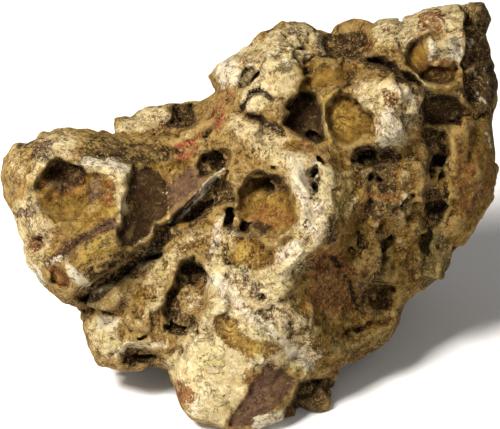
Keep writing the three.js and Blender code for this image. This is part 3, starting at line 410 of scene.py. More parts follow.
# Patches of colour on the face: finish, strength, width of the ragged edge, outline. Beside the rock's own
# colours, the dark brown patches are painted shade and shadow in recesses, and a few of the palest are
# painted highlights on lit edges
PATCHES = [
    # Tan and ochre grounds
    ("ochre", 1.0, 5, [
        (20, 124), (26, 132), (38, 134), (47, 127), (60, 124), (62, 108), (54, 103), (40, 97), (28, 100)]),
    ("ochre", 0.8, 6, [(64, 128), (66, 142), (92, 142), (98, 134), (94, 126), (84, 126)]),
    ("ochre", 0.5, 5, [(66, 146), (68, 152), (84, 156), (86, 148)]),
    ("ochre", 0.9, 5, [(86, 158), (90, 165), (104, 164), (102, 157)]),
    ("ochre", 0.8, 6, [(84, 88), (90, 104), (104, 108), (110, 102), (102, 90), (92, 84)]),
    ("ochre", 0.6, 4, [(100, 88), (101, 104), (110, 111), (117, 103), (113, 90)]),
    ("ochre", 0.6, 5, [(66, 78), (72, 86), (84, 80), (82, 60), (72, 56), (66, 66)]),
    ("ochre", 0.8, 5, [(119, 104), (119, 118), (128, 126), (141, 124), (148, 112), (148, 101), (134, 97)]),
    ("ochre", 0.9, 4, [(110, 86), (112, 96), (126, 98), (138, 90), (136, 82), (120, 80)]),
    ("ochre", 0.8, 3, [
        (107, 58), (113, 60), (119, 56), (122, 49), (130, 46), (139, 45), (141, 41), (134, 37), (124, 36),
        (117, 41), (110, 46), (106, 52)]),
    ("ochre", 1.0, 8, [
        (146, 66), (150, 92), (164, 112), (166, 136), (176, 142), (200, 140), (210, 148), (212, 96),
        (202, 62), (196, 42), (168, 30), (158, 30)]),
    ("ochre", 1.0, 6, [(222, 96), (212, 130), (220, 156), (234, 162), (250, 160), (250, 90), (228, 84)]),
    ("ochre", 0.35, 5, [(128, 190), (130, 204), (156, 204), (162, 192), (158, 184), (150, 184)]),
    ("ochre", 1.0, 5, [(150, 168), (152, 182), (180, 184), (180, 176), (168, 162)]),
    ("ochre", 0.9, 4, [(160, 144), (161, 164), (176, 166), (186, 156), (184, 143), (170, 140)]),
    ("ochre", 0.9, 4, [
        (202, 178), (204, 190), (211, 195), (215, 186), (224, 182), (229, 177), (230, 172), (214, 168)]),
    ("ochre", 0.6, 4, [(189, 158), (190, 168), (200, 168), (200, 156)]),
    ("ochre", 0.7, 4, [(120, 20), (122, 32), (130, 34), (128, 24)]),
    ("ochre", 0.8, 6, [(140, 140), (146, 148), (156, 142), (164, 142), (176, 140), (176, 126), (162, 132)]),
    # Pale grounds, the rock's own colour
    ("cream", 0.75, 4, [(8, 106), (10, 112), (20, 118), (22, 110), (30, 102), (26, 84), (14, 80), (8, 96)]),
    ("cream", 0.75, 4, [(18, 124), (20, 146), (34, 149), (42, 144), (40, 135), (30, 136), (24, 131)]),
    ("cream", 0.45, 4, [(46, 62), (49, 72), (58, 77), (66, 76), (66, 66), (58, 60)]),
    ("cream", 1.0, 4, [(128, 188), (134, 198), (150, 202), (160, 197), (162, 188), (150, 182), (136, 184)]),
    ("cream", 0.35, 6, [(0, 118), (4, 140), (16, 144), (17, 126), (8, 112)]),
    ("cream", 1.0, 3, [(42, 130), (44, 136), (66, 132), (66, 112), (61, 104), (60, 118), (56, 126)]),
    ("cream", 1.0, 4, [(57, 148), (62, 158), (82, 163), (85, 152), (72, 148)]),
    ("cream", 0.75, 5, [(112, 150), (116, 156), (142, 146), (150, 132), (142, 118), (140, 130), (126, 138)]),
    ("cream", 0.8, 4, [
        (110, 170), (106, 184), (124, 192), (136, 190), (150, 178), (148, 168), (138, 160), (126, 155),
        (120, 160), (122, 172)]),
    ("cream", 1.0, 4, [
        (177, 172), (186, 172), (206, 168), (208, 158), (200, 140), (188, 138), (188, 154), (178, 156)]),
    ("cream", 0.8, 4, [(186, 190), (188, 204), (210, 210), (232, 212), (228, 196), (208, 196), (202, 186)]),
    ("yellow", 0.9, 1.5, [
        (199, 182), (202, 176), (206, 170.5), (212, 166.5), (221, 166), (231, 170), (231, 173),
        (221, 169), (213, 169.5), (208, 172.5), (204, 178), (202, 183)]),
    ("cream", 1.1, 3, [(214, 181), (216, 194), (228, 195), (230, 181)]),
    ("cream", 1.0, 5, [
        (88, 24), (84, 34), (98, 52), (106, 62), (104, 82), (110, 104), (118, 98), (112, 84), (126, 80),
        (140, 84), (154, 96), (158, 84), (146, 78), (142, 68), (156, 52), (160, 38), (152, 28), (140, 34),
        (126, 30), (122, 18), (112, 2), (100, 6)]),
    ("cream", 0.8, 4, [
        (142, 140), (150, 118), (146, 98), (150, 90), (158, 92), (164, 108), (168, 126), (160, 134)]),
    ("cream", 0.75, 4, [
        (44, 48), (50, 58), (62, 56), (60, 46), (78, 44), (84, 40), (74, 42), (60, 42), (52, 36)]),
    ("cream", 0.65, 4, [(66, 72), (70, 90), (80, 96), (84, 86), (82, 60), (72, 56), (74, 70)]),
    ("cream", 0.8, 4, [(82, 86), (96, 100), (106, 102), (104, 92), (92, 86), (86, 78)]),
    ("cream", 0.6, 4, [(198, 88), (204, 110), (206, 140), (202, 140), (196, 110)]),
    ("cream", 1.2, 2, [(167, 106), (168, 128), (176, 128), (175, 104)]),
    ("cream", 0.45, 4, [(92, 60), (93, 70), (103, 69), (103, 60)]),
    # Yellow
    ("yellow", 1.0, 3, [(40, 81), (42, 87), (46, 94), (56, 99), (61, 91), (66, 88.5), (55, 86), (46, 83)]),
    ("yellow", 1.2, 1.5, [
        (158, 160), (160, 142), (168, 139), (163, 148), (163, 158), (168, 168), (162, 166)]),
    ("yellow", 0.35, 4, [(24, 104), (26, 114), (38, 113), (42, 106), (38, 99)]),
    ("yellow", 0.5, 4, [(60, 147), (62, 151), (76, 153), (80, 149)]),
    ("yellow", 0.6, 4, [(112, 88), (114, 95), (126, 96), (130, 90), (122, 84)]),
    ("yellow", 0.5, 4, [(204, 182), (206, 176), (216, 172), (228, 174), (222, 178), (210, 180)]),
    ("yellow", 0.6, 3, [(140, 185), (142, 192), (154, 194), (160, 188), (150, 183)]),
    ("yellow", 0.6, 4, [(56, 104), (56, 120), (62, 122), (62, 106)]),
    ("yellow", 1.0, 2, [(167, 106), (168, 128), (175, 128), (174, 104)]),
    ("yellow", 0.4, 4, [(163, 146), (162, 158), (168, 165), (173, 158), (173, 147)]),
    ("yellow", 0.55, 3, [
        (110, 54), (114, 58), (120, 52), (124, 47), (134, 44), (138, 41), (126, 38), (116, 46)]),
    # Olive
    ("olive", 0.8, 4, [(42, 132), (44, 140), (66, 140), (84, 138), (84, 132), (64, 130)]),
    ("olive", 1.4, 2, [(209, 84), (212, 98), (221, 99), (226, 88), (224, 74), (212, 70)]),
    ("olive", 0.9, 2, [(118, 168), (119, 178), (126, 181), (128, 174), (123, 168)]),
    ("olive", 0.5, 4, [
        (142, 70), (144, 84), (152, 88), (152, 76), (148, 66), (158, 50), (162, 36), (156, 40)]),
    ("olive", 0.5, 5, [(162, 36), (166, 48), (194, 52), (196, 44), (176, 34)]),
    ("olive", 0.6, 3, [(110, 86), (114, 86), (126, 80), (122, 77), (112, 82)]),
    ("olive", 0.9, 4, [(134, 176), (142, 184), (150, 182), (146, 176)]),
    ("olive", 0.8, 3, [(16, 112), (18, 123), (22, 122), (21, 112)]),
    ("olive", 0.55, 3, [(42, 90), (47, 95), (56, 98), (60, 92), (52, 88)]),
    ("olive", 0.3, 4, [(24, 104), (26, 120), (40, 118), (46, 108), (38, 99), (30, 100)]),
    ("olive", 0.6, 4, [(40, 136), (44, 146), (60, 148), (64, 141), (56, 137)]),
    ("olive", 0.5, 4, [(190, 190), (192, 198), (200, 200), (200, 188)]),
    # Rust
    ("rust", 0.9, 2, [(17, 90), (18, 96), (24, 98), (26, 92), (22, 88)]),
    ("rust", 1.0, 3, [
        (23, 121), (25, 128), (30, 133), (40, 132), (46, 127), (44, 120), (36, 116), (28, 117)]),
    ("rust", 0.7, 3, [(26, 80), (31, 83), (36, 79), (38, 73), (35, 69), (30, 71)]),
    ("rust", 1.0, 2.5, [(55, 110), (54, 123), (59, 123), (60, 112)]),
    ("rust", 0.75, 5, [
        (154, 62), (152, 84), (160, 91), (174, 90), (178, 76), (190, 72), (188, 62), (166, 56)]),
    ("rust", 1.5, 1.5, [(208, 198), (208, 206), (218, 208), (221, 200), (216, 195)]),
    ("rust", 0.6, 3, [(226, 104), (225, 146), (231, 150), (233, 128), (231, 104)]),
    ("rust", 1.0, 3, [(162, 188), (166, 197), (180, 199), (188, 193), (185, 186), (172, 184)]),
    ("rust", 1.0, 2, [(190, 158), (190, 168), (197, 168), (196, 157)]),
    ("rust", 0.5, 2, [(124, 86), (125, 93), (130, 92), (130, 86)]),
    ("rust", 1.2, 2, [(87, 16), (89, 26), (98, 22), (97, 15)]),
    ("rust", 0.6, 2, [(112, 2), (114, 9), (122, 12), (122, 4), (118, 0)]),
    ("rust", 0.7, 2, [(124, 24), (128, 32), (131, 30), (129, 24)]),
    ("rust", 0.5, 6, [(226, 110), (226, 140), (240, 146), (246, 120), (238, 104)]),
    ("rust", 0.6, 4, [(208, 176), (210, 184), (228, 184), (230, 178), (218, 174)]),
    ("rust", 0.9, 4, [(177, 103), (183, 124), (199, 120), (199, 103)]),
    ("rust", 0.9, 3, [(148, 140), (152, 146), (158, 142), (154, 138)]),
    ("rust", 0.7, 2, [(76, 30), (78, 36), (84, 37), (86, 31)]),
    ("rust", 0.6, 4, [(122, 100), (122, 108), (132, 112), (146, 108), (147, 102), (134, 98)]),
    # Plum
    ("plum", 1.0, 1.5, [
        (24, 80), (30, 88), (36, 92), (42, 96), (50, 101), (59, 105), (61, 98), (55, 100), (50, 96),
        (44, 93), (38, 85), (34, 84), (29, 83)]),
    ("plum", 1.5, 1, [(9, 106), (12, 109), (22, 112), (22, 107), (14, 105)]),
    ("plum", 1.1, 2, [(46, 112), (47, 122), (52, 125), (54, 114)]),
    ("plum", 1.0, 2, [
        (85, 110), (84, 120), (92, 127), (93, 132), (103, 131), (106, 123), (99, 114), (93, 108),
        (88, 103)]),
    ("plum", 0.6, 2.5, [(110, 81), (122, 79), (130, 75), (136, 66), (130, 64), (122, 68), (112, 76)]),
    ("plum", 0.6, 3, [(128, 62), (134, 66), (142, 60), (148, 50), (146, 45), (138, 50), (130, 56)]),
    ("plum", 1.1, 1.5, [
        (114, 2), (118, 12), (124, 20), (128, 28), (133, 33.5), (139, 33), (145, 28), (149, 25),
        (143, 20), (140, 14), (132, 10), (125, 4)]),
    ("plum", 0.7, 2.5, [(200, 186), (202, 192), (208, 195), (209, 190)]),
    ("plum", 0.6, 2.5, [(140, 197), (143, 201), (153, 201), (153, 197), (146, 195)]),
    ("plum", 1.1, 2, [(18, 135), (19, 142), (28, 143), (28, 135)]),
    ("plum", 0.4, 4, [(2, 112), (4, 130), (10, 130), (12, 114)]),
    # Dark brown: the rock's own in places, and painted shade and shadow in recesses, hollows and crevices,
    # under the arm's lower edge and on the right flank
    # Painted shadow that the arete casts across the recess beside it, over the rock's own dark brown
    ("umber", 1.0, 2.5, [
        (66.5, 130), (72, 131), (80, 127), (84, 118), (85, 108), (81, 104.5), (76, 99), (73, 95),
        (67, 90.5), (62, 91), (60, 95), (60, 101), (62, 106), (66, 109), (66.5, 118)]),
    ("umber", 0.8, 1.5, [
        (60, 89), (68, 88), (76, 94), (81, 102), (86, 104), (88, 102), (80, 92), (70, 85), (60, 85)]),
    ("umber", 0.75, 2, [(38, 78), (46, 81.5), (55, 84.5), (66, 87.5), (67, 85.5), (56, 79), (44, 73)]),
    # Painted shadow under the arm's lower edge
    ("umber", 0.7, 2.5, [(36, 64), (42, 70), (50, 75), (56, 77), (50, 71), (44, 65), (38, 62)]),
    # Painted shade under the upper rim of the arm crater
    ("umber", 0.9, 3, [(24, 120), (26, 129), (31, 133), (40, 132), (46, 126), (42, 120), (34, 117)]),
    ("umber", 0.6, 4, [
        (44, 136), (46, 145), (60, 144), (84, 143), (92, 140), (88, 132), (68, 131), (52, 136)]),
    ("umber", 1.0, 3, [(50, 132), (52, 138), (64, 140), (64, 133)]),
    ("umber", 0.5, 3, [(26, 81), (36, 91), (50, 100), (59, 104), (60, 100), (44, 94), (38, 86)]),
    ("umber", 0.8, 3, [(10, 140), (12, 144), (19, 144), (18, 139)]),
    ("umber", 0.8, 3, [(20, 131), (20, 137), (27, 137), (28, 133)]),
    # Painted shade under the upper rim of the arm crater
    ("umber", 1.3, 2.5, [(25, 125), (30, 133.5), (40, 133), (47, 127), (43, 123), (34, 122.5)]),
    ("umber", 1.2, 2.5, [(83, 149), (84, 160), (88, 164), (97, 163), (99, 153), (92, 148)]),
    # Painted shadow under the blade's overhang
    ("umber", 0.8, 3, [
        (90, 102), (97, 112), (106, 120), (113, 126), (118, 121), (118, 112), (108, 110), (98, 101)]),
    # Painted shadow in the band under the arm's lower edge
    ("umber", 1.0, 2, [
        (38, 64), (50, 71), (62, 81), (74, 90), (84, 101), (90, 98), (76, 84), (60, 72), (48, 64)]),
    ("umber", 1.0, 3, [
        (141, 159), (150, 168), (158, 166), (160, 158), (161, 150), (162, 143), (157, 140), (148, 146),
        (141, 151)]),
    ("umber", 1.2, 3, [(160, 185), (160, 196), (168, 198), (180, 199), (184, 194), (182, 186), (172, 183)]),
    # Painted shade in the crevice under the crater lip
    ("umber", 1.0, 3, [
        (181, 186), (190, 184), (200, 179), (208, 172), (216, 166), (208, 164), (196, 173), (186, 180)]),
    # Painted shade on the right flank, which faces away from the key light, over the rock's own dark brown
    ("umber", 1.0, 3, [
        (231, 213), (230, 196), (231, 180), (230, 166), (236, 157), (246, 158), (250, 180), (246, 214)]),
    ("umber", 0.9, 3, [(208, 150), (208, 166), (226, 166), (232, 158), (228, 151)]),
    # Painted shade in the bottom of the right crater
    ("umber", 0.55, 2.5, [(205, 175), (209, 178), (224, 178), (229, 175), (222, 170), (212, 170)]),
    ("umber", 0.9, 3, [(211, 152), (221, 150), (223, 140), (222, 126), (212, 126), (210, 138)]),
    ("umber", 0.8, 3, [(210, 122), (223, 120), (224, 112), (222, 104), (212, 104)]),
    ("umber", 0.9, 3, [
        (174, 131), (176, 140), (186, 142), (198, 138), (198, 130), (188, 126), (180, 118), (178, 124)]),
    ("umber", 0.9, 3, [(182, 116), (185, 129), (197, 127), (197, 116)]),
    ("umber", 0.9, 4, [(180, 104), (182, 114), (198, 112), (198, 104)]),
    ("umber", 0.6, 3, [(176, 60), (177, 78), (190, 78), (198, 70), (197, 58), (186, 56)]),
    ("umber", 1.2, 1.5, [(162.5, 92), (163, 107), (167, 108), (167, 93)]),
    ("umber", 0.7, 2.5, [(177, 88), (178, 100), (184, 94), (184, 88)]),
    ("umber", 0.7, 2.5, [(186, 76), (188, 98), (192, 98), (194, 84), (190, 74)]),
    ("umber", 0.8, 3, [(88, 74), (92, 85), (104, 83), (104, 74), (96, 71)]),
    ("umber", 1.1, 2.5, [(83, 49), (83, 64), (88, 74), (91, 62), (99, 55), (99, 49), (90, 47)]),
    ("umber", 1.3, 2, [(100, 125), (99, 132), (104, 138), (114, 136), (114, 130), (106, 124)]),
    ("umber", 1.0, 2.5, [(112, 97), (114, 103), (130, 104), (135, 99), (128, 95)]),
    ("umber", 0.7, 2.5, [(131, 118), (131, 128), (142, 126), (142, 118)]),
    ("umber", 0.7, 2.5, [(152, 116), (152, 128), (158, 132), (160, 124), (158, 116)]),
    ("umber", 0.8, 3, [(62, 31), (62, 38), (72, 40), (84, 36), (84, 31)]),
    ("umber", 0.9, 3, [(139, 4), (146, 18), (150, 26), (166, 27), (168, 20), (158, 10), (148, 4)]),
    ("umber", 0.15, 2, [(147, 181), (149, 187), (157, 186), (157, 182)]),
    ("umber", 0.5, 5, [(166, 30), (168, 38), (184, 44), (200, 60), (204, 52), (190, 36)]),
    # Brick
    ("brick", 1.1, 1.5, [
        (86, 141), (90, 143), (96, 142.5), (101, 148), (102, 146.5), (97, 140.5), (90, 140)]),
    ("brick", 1.1, 1.5, [(89, 136.5), (94, 138), (100, 141), (100, 139), (94, 135.5), (90, 134.5)]),
    ("brick", 1.1, 1.5, [(106, 147), (108, 152), (111, 158), (112.5, 157), (110, 151), (108, 147)]),
    ("brick", 0.45, 4, [(104, 152), (108, 168), (112, 176), (118, 168), (114, 154)]),
    # The palest streaks, the rock's own, with painted highlights on thin lit edges and on the lit upper wall
    # of the right crater
    ("white", 0.25, 6, [(90, 30), (96, 12), (108, 6), (116, 14), (122, 30), (112, 38), (104, 46), (96, 40)]),
    ("white", 1.0, 2.5, [(42, 131), (44, 135), (56, 134), (66, 131), (65, 127), (56, 130), (48, 129)]),
    ("white", 0.5, 1.5, [(26, 82), (31, 88), (36, 87), (38, 81), (34, 84), (30, 83)]),
    ("white", 1.4, 1.5, [(35, 82), (40, 80), (47, 73), (42, 71), (38, 75)]),
    ("white", 1.3, 2, [(13, 84), (20, 83), (26, 73), (22, 71), (16, 77)]),
    ("white", 0.3, 2.5, [(28, 145), (33, 147), (40, 140), (34, 136), (28, 138)]),
    ("white", 0.75, 3, [
        (141, 138), (148, 136), (154, 124), (156, 116), (162, 110), (163, 98), (156, 90), (150, 98),
        (149, 112), (144, 122)]),
    ("white", 1.2, 3, [
        (104, 76), (110, 78), (120, 68), (132, 56), (146, 44), (156, 38), (156, 30), (148, 32), (136, 48),
        (122, 58), (112, 66)]),
    ("white", 0.7, 4, [(134, 80), (146, 84), (152, 92), (148, 96), (138, 90)]),
    ("white", 0.8, 3, [(110, 168), (108, 178), (112, 186), (120, 182), (118, 170)]),
    ("white", 0.4, 3, [(128, 182), (130, 190), (142, 186), (148, 178), (140, 182)]),
    ("white", 1.0, 3, [(187, 140), (187, 154), (194, 158), (199, 150), (198, 140)]),
    ("white", 0.8, 2.5, [(190, 169), (198, 169), (206, 165), (206, 161), (198, 166)]),
    # Painted highlights on the lit upper wall of the right crater
    ("white", 0.8, 1.5, [(212, 183), (212, 192), (215, 195), (216, 188), (214, 183)]),
    ("white", 0.7, 3, [(221, 184), (222, 194), (229, 194), (229, 184)]),
    ("white", 0.9, 2, [(50, 48), (50, 56), (60, 56), (60, 50)]),
    ("white", 0.7, 2, [(52, 35), (54, 38), (62, 42), (70, 44), (84, 42), (84, 40), (70, 41), (60, 36)]),
    ("white", 1.1, 2, [(125, 2), (128, 8), (141, 12), (141, 5), (132, 1)]),
    ("white", 0.6, 3, [(92, 10), (94, 15), (102, 10), (100, 6)]),
    ("white", 0.6, 2.5, [(104, 88), (106, 100), (112, 106), (112, 98), (108, 88)]),
    ("white", 0.4, 3, [(93, 61), (94, 68), (102, 68), (102, 62)]),
    ("white", 1.0, 1, [(231, 195), (233, 188), (236.5, 192)]),
    ("white", 0.9, 0.8, [(232.5, 184), (238, 176), (240, 168), (237.5, 174)]),
    ("white", 0.9, 0.8, [(240, 181), (244.5, 171), (242, 179)]),
    ("white", 0.8, 0.8, [(236, 170), (241, 160), (242, 162)]),
    ("white", 0.6, 1, [(241, 150), (243, 143), (246, 140), (245, 147)]),
    # Painted highlights along the thin lit edge of the blade and its run on towards the arm
    ("white", 1.1, 0.8, [
        (84, 102.5), (89, 102), (98, 111), (107, 121.5), (113.5, 129), (112, 130), (98, 114.5), (89, 105)]),
    ("white", 0.35, 0.7, [(67, 89.6), (75, 95.8), (81, 103.6), (80, 104.4), (74, 97.2), (67, 90.8)]),
]
# The finishes in the order they are laid. The dark brown one also carries painted shade and shadow, and the
# two palest also carry painted highlights
FINISHES = ("cream", "ochre", "yellow", "olive", "rust", "plum", "umber", "brick", "white")

# The hidden sides, where there are no patches: each colour with the level at which its swell makes it a
# half, the rows of that swell, how fast the colour grows with it, and how pale those sides count
HIDDEN_COLOURS = (
    ("cream", 0.05), ("ochre", -0.05), ("plum", 0.45), ("olive", 0.4), ("rust", 0.5), ("yellow", 0.4),
)
HIDDEN_COLOUR_SWELLS = ((34, 60, 0.6), (12, 70, 0.4))
HIDDEN_COLOUR_GAIN = 2.2
HIDDEN_PALE = 0.5

# Where a colour that goes by the shape starts and where it is full: by the lift of a sharp groove or
# ridge, by depth below the skin, and by the share of rock round a place, which is taken as negative
# for a ridge. The dark brown in sharp grooves, deep pits and hollows is painted shade, and the pale
# colours on ridges are painted highlights
SHARP_GROOVE = (0.9, 2.6)
SHARP_RIDGE = (1.2, 3)
DEEP = (7, 17)
SUNK = (3, 8)
BROAD_HOLLOW = (0.5, 0.68)
BROAD_RIDGE = (-0.46, -0.36)
FINE_HOLLOW = (0.6, 0.78)
FINE_RIDGE = (-0.4, -0.27)

# How strong those colours are: the painted shade in grooves and hollows, the ochre below the skin and
# the painted highlights on ridges, and how much ochre a broad ridge's painted highlight takes away. A
# ridge's painted highlight is the stronger the paler the rock round it
GROOVE_PAINTED_SHADE = 0.9
HOLLOW_PAINTED_SHADE = 0.8
SUNK_OCHRE = 0.7
RIDGE_LEAST, RIDGE_BY_PALE = 0.3, 0.5
FINE_RIDGE_LEAST, FINE_RIDGE_BY_PALE = 0.2, 0.6
RIDGE_TAKES_OCHRE = 0.6

# How far round each place the share of rock is taken, in millimetres
FINE_CROWDING = 2.6
BROAD_CROWDING = 8

# Between these two distances from the front, less its turn, the colours of the hidden sides give way to
# the patches
SEEN_OUT = (-45, -18)

# Small marks run from their least to the full over these levels of roughness
UNEVEN_ROUGHNESS = (0.06, 0.45)
UNEVEN_LEAST = 0.2

# Noises in the rock: size in millimetres, detail, roughness, distortion
NOISES = {
    "ragged": (6, 8, 0.7, 0.8),
    "ragged fine": (1.4, 3, 0.65, 0.0),
    "tone": (13, 6, 0.65, 1.0),
    "tone fine": (2.6, 6, 0.7, 0.5),
    "stain": (10, 8, 0.68, 1.3),
    "moss": (14, 8, 0.66, 1.0),
    "relief": (3.4, 10, 0.74, 0.5),
    "strokes": (0.9, 4, 0.7, 1.2),
    "fleck": (1.3, 5, 0.8, 0.0),
    "crack": (9, 6, 0.6, 1.4),
    "crack places": (16, 2, 0.6, 0.0),
    "grain": (1.1, 5, 0.8, 0.0),
}

# What a noise is multiplied by once a half is taken off it
GAINS = {"ragged": 2.0, "ragged fine": 1.5, "tone": 2.2, "tone fine": 2.4, "fleck": 1.0}

# Marks over the finishes, in the order in which they are laid: the level where each starts, the level
# where it is full, its strength, its colour and how it is laid. The low, shade and notch marks are painted
# shade, and the high, ridge and crest marks are painted highlights
MARKS = {
    "stain": (0.5, 0.62, 0.6, "stain", "MULTIPLY"),
    "moss": (0.51, 0.62, 0.5, "moss", "MULTIPLY"),
    # From low to notch: painted shade where the bumped relief is low and in hollows and notches, and painted
    # highlights where it is high and on ridges and crests
    "low": (0.48, 0.4, 0.9, "dirt", "MULTIPLY"),
    "high": (0.54, 0.61, 0.8, "bright", "MIX"),
    "ridge": (0.5, 0.36, 0.25, "bright", "MIX"),
    "crest": (0.39, 0.28, 0.45, "brightest", "MIX"),
    "shade": (0.48, 0.7, 0.7, "dirt", "MULTIPLY"),
    "notch": (0.6, 0.7, 0.95, "dirt", "MULTIPLY"),
    "strokes": (0.485, 0.43, 0.68, "dirt", "MULTIPLY"),
    "fleck": (0.05, 0.11, 0.85, "bright", "MIX"),
    "crack": (0.014, 0.004, 0.85, "umber_dark", "MIX"),
}

# The levels over which a finish comes in and over which there come to be cracks, the share of a stain
# that even rock has, and the share of the strokes outside a stain
FINISH_EDGE = (0.36, 0.64)
CRACK_PLACES = (0.42, 0.5)
STAIN_ON_SMOOTH = 0.2
STROKES_UNSTAINED = 0.3

# How far apart nodes stand in the editor
NODE_SPACING = (180, 160)

# How the strokes run: their turn and how much they are drawn out
STROKE_TURN = (0.5, 0.35, 0.6)
STROKE_STRETCH = (1, 4.5, 1)

# How tall the bumps stand, in millimetres
RELIEF_BUMP = 4.6
GRAIN_BUMP = 2.6
STROKE_BUMP = 1.0
CRACK_BUMP = 0.8

# The shine of dry clay rock: its roughness from the darker tone to the paler, and its highlight
ROCK_ROUGHNESS = (0.8, 0.95)
ROCK_HIGHLIGHT = 0.1

# The stage: what the camera looks at on the face, how wide a strip it takes in and its sensor, all in
# millimetres, then the farthest that it sees and half the floor's side in metres
AIM = np.array([(125.0, 106.75, 5.0)])
VIEW_WIDTH = 247
SENSOR_WIDTH = 36
FARTHEST_SEEN = 20
FLOOR_SIDE = 6
FLOOR_ROUGHNESS = 0.9
ROOM_COLOUR = (1, 0.98, 0.95, 1)
ROOM_STRENGTH = 0.22

# Lights: name, metres from the aim, steps to the right, up the face and out from it, size in metres,
# share of the light power, colour
LIGHTS = (
    ("key light", 1.1, (-0.45, 0.48, 0.75), 0.42, 1, (1, 0.97, 0.92)),
    ("fill light", 1.5, (0.05, -0.45, 0.9), 1.2, 0.3, (0.95, 0.97, 1)),
)

# Eggs: how much of their distance is that of a ball and how much that of its farthest flat, how much
# farther the block reaches in which one is worked out, and the directions square to the twelve faces
# of a regular solid, one of each opposite two
EGG_ROUND = 0.4
EGG_FLAT = 0.68
EGG_MARGIN = 5
GOLDEN = (1 + math.sqrt(5)) / 2
FLATS = np.array([
    (0, 1, GOLDEN), (0, 1, -GOLDEN), (1, GOLDEN, 0), (1, -GOLDEN, 0), (GOLDEN, 0, 1), (-GOLDEN, 0, 1),
])
FLATS /= np.linalg.norm(FLATS, axis=1, keepdims=True)

# Turns the lattice of chances, so that its rows line up with nothing on the stone
LATTICE_TURN = np.array(((0.8, 0.6, 0), (-0.36, 0.48, 0.8), (0.48, -0.64, 0.6)))

# How fast the wave of chances runs along i, j, k and the seed, and how tall it is
WAVE_I, WAVE_J, WAVE_K, WAVE_SEED = 127.1, 311.7, 74.7, 53.3
WAVE_HEIGHT = 43758.5453

# Scattered middles lie between this far and this much farther along each side of their cell
MIDDLE_START = 0.25
MIDDLE_SPREAD = 0.5

# The squared distance to a bowl's middle on its ridge, and the level that is taken off a bowl
BOWL_RIDGE = 0.45
BOWL_LEVEL = 0.45

# How steeply a facet gives way to the next
FACET_STEEPNESS = 12

# How combed crests run: across and up along the run, and how much the places are pressed together
COMB_ACROSS = 0.6
COMB_UP = 0.8
COMB_PRESSING = 0.35

# A crease fades at each end over its length divided by the first number, to the power of the second,
# and changes from its left lift to its right within the third of its line
CREASE_ENDS = 6
CREASE_FADING = 0.7
CREASE_SOFT = 0.8

# Where sheets of the surface are parted: how deep a filled corner lies, as a share of a cell, and a
# number larger than any distance on the lattice
FILLED_DEPTH = 0.02
PAST_ANY_DISTANCE = 1000

# The corners of a cell, and its edges as pairs of corners
CORNERS = [(bit & 1, (bit >> 1) & 1, bit >> 2) for bit in range(8)]
CELL_EDGES = [(one, one | bit) for one in range(8) for bit in (1, 2, 4) if not one & bit]


def to_room(places):
    """Places on the face, in millimetres, as x, y and z in metres over the resting plane: y is up times
    the sine of the lean less out times its cosine, z is up times the cosine plus out times the sine."""
    across, up, out = places.T
    return MM * np.stack([
        across - MIDDLE_ACROSS,
        up * OUT_TO_HEIGHT - out * UP_TO_HEIGHT - MIDDLE_BACK,
        up * UP_TO_HEIGHT + out * OUT_TO_HEIGHT - RESTING_HEIGHT,
    ], 1)


def to_face(points):
    """The turn of to_room taken back: metres in the room as across, up and out in millimetres."""
    x, y, z = points.T / MM
    back, height = y + MIDDLE_BACK, z + RESTING_HEIGHT
    return np.stack([
        x + MIDDLE_ACROSS,
        back * OUT_TO_HEIGHT + height * UP_TO_HEIGHT,
        height * OUT_TO_HEIGHT - back * UP_TO_HEIGHT,
    ], 1)


def ease(value, low, high):
    """A smooth step: 0 below low, 1 above high, and three squares less two cubes in between."""
    share = np.clip((value - low) / (high - low), 0, 1)
    return share * share * (3 - 2 * share)


def soft_max(one, two, width):
    """The larger of two numbers, with a parabola of the given width where they meet."""
    blend = np.maximum(width - np.abs(one - two), 0) / width
    return np.maximum(one, two) + blend * blend * width / 4


def soft_min(one, two, width):
    """The smaller of two numbers, with a parabola where they meet."""
    return -soft_max(-one, -two, width)


def chance(i, j, k, seed):
    """A random number from 0 to 1 for each lattice point: the fraction of a tall sine wave."""
    wave = np.abs(np.sin(i * WAVE_I + j * WAVE_J + k * WAVE_K + seed * WAVE_SEED) * WAVE_HEIGHT)
    return wave - np.floor(wave)


def corner_weight(near, corner):
    """How much a corner of a cell counts at places in it: the share of the way towards the corner along
    each axis, multiplied."""
    i, j, k = corner
    weight = (near[:, 0] if i else 1 - near[:, 0]) * (near[:, 1] if j else 1 - near[:, 1])
    return weight * (near[:, 2] if k else 1 - near[:, 2])


def swell(places, size, seed):
    """A smooth random swell from -1 to 1: the chances at the eight lattice points round a place,
    blended with smooth steps."""
    scaled = places @ LATTICE_TURN.T / size
    base = np.floor(scaled)
    near = ease(scaled - base, 0, 1)
    total = np.zeros(len(places))
    for corner in CORNERS:
        total += corner_weight(near, corner) * chance(*(base + corner).T, seed)
    return total * 2 - 1


def bowls(places, size, seed):
    """Shallow bowls that meet in ridges: one less the squared distance to the nearest of a set of
    scattered middles over that on the ridge, less the bowls' level."""
    scaled = places @ LATTICE_TURN.T / size
    base = np.floor(scaled - 0.5)
    nearest = np.full(len(places), 9.0)
    for corner in CORNERS:
        cell = (base + corner).T
        square = 0
        for axis in range(3):
            middle = cell[axis] + MIDDLE_START + MIDDLE_SPREAD * chance(*cell, seed + axis)
            square = square + (scaled[:, axis] - middle) ** 2
        nearest = np.minimum(nearest, square)
    return 1 - np.minimum(nearest / BOWL_RIDGE, 1) - BOWL_LEVEL


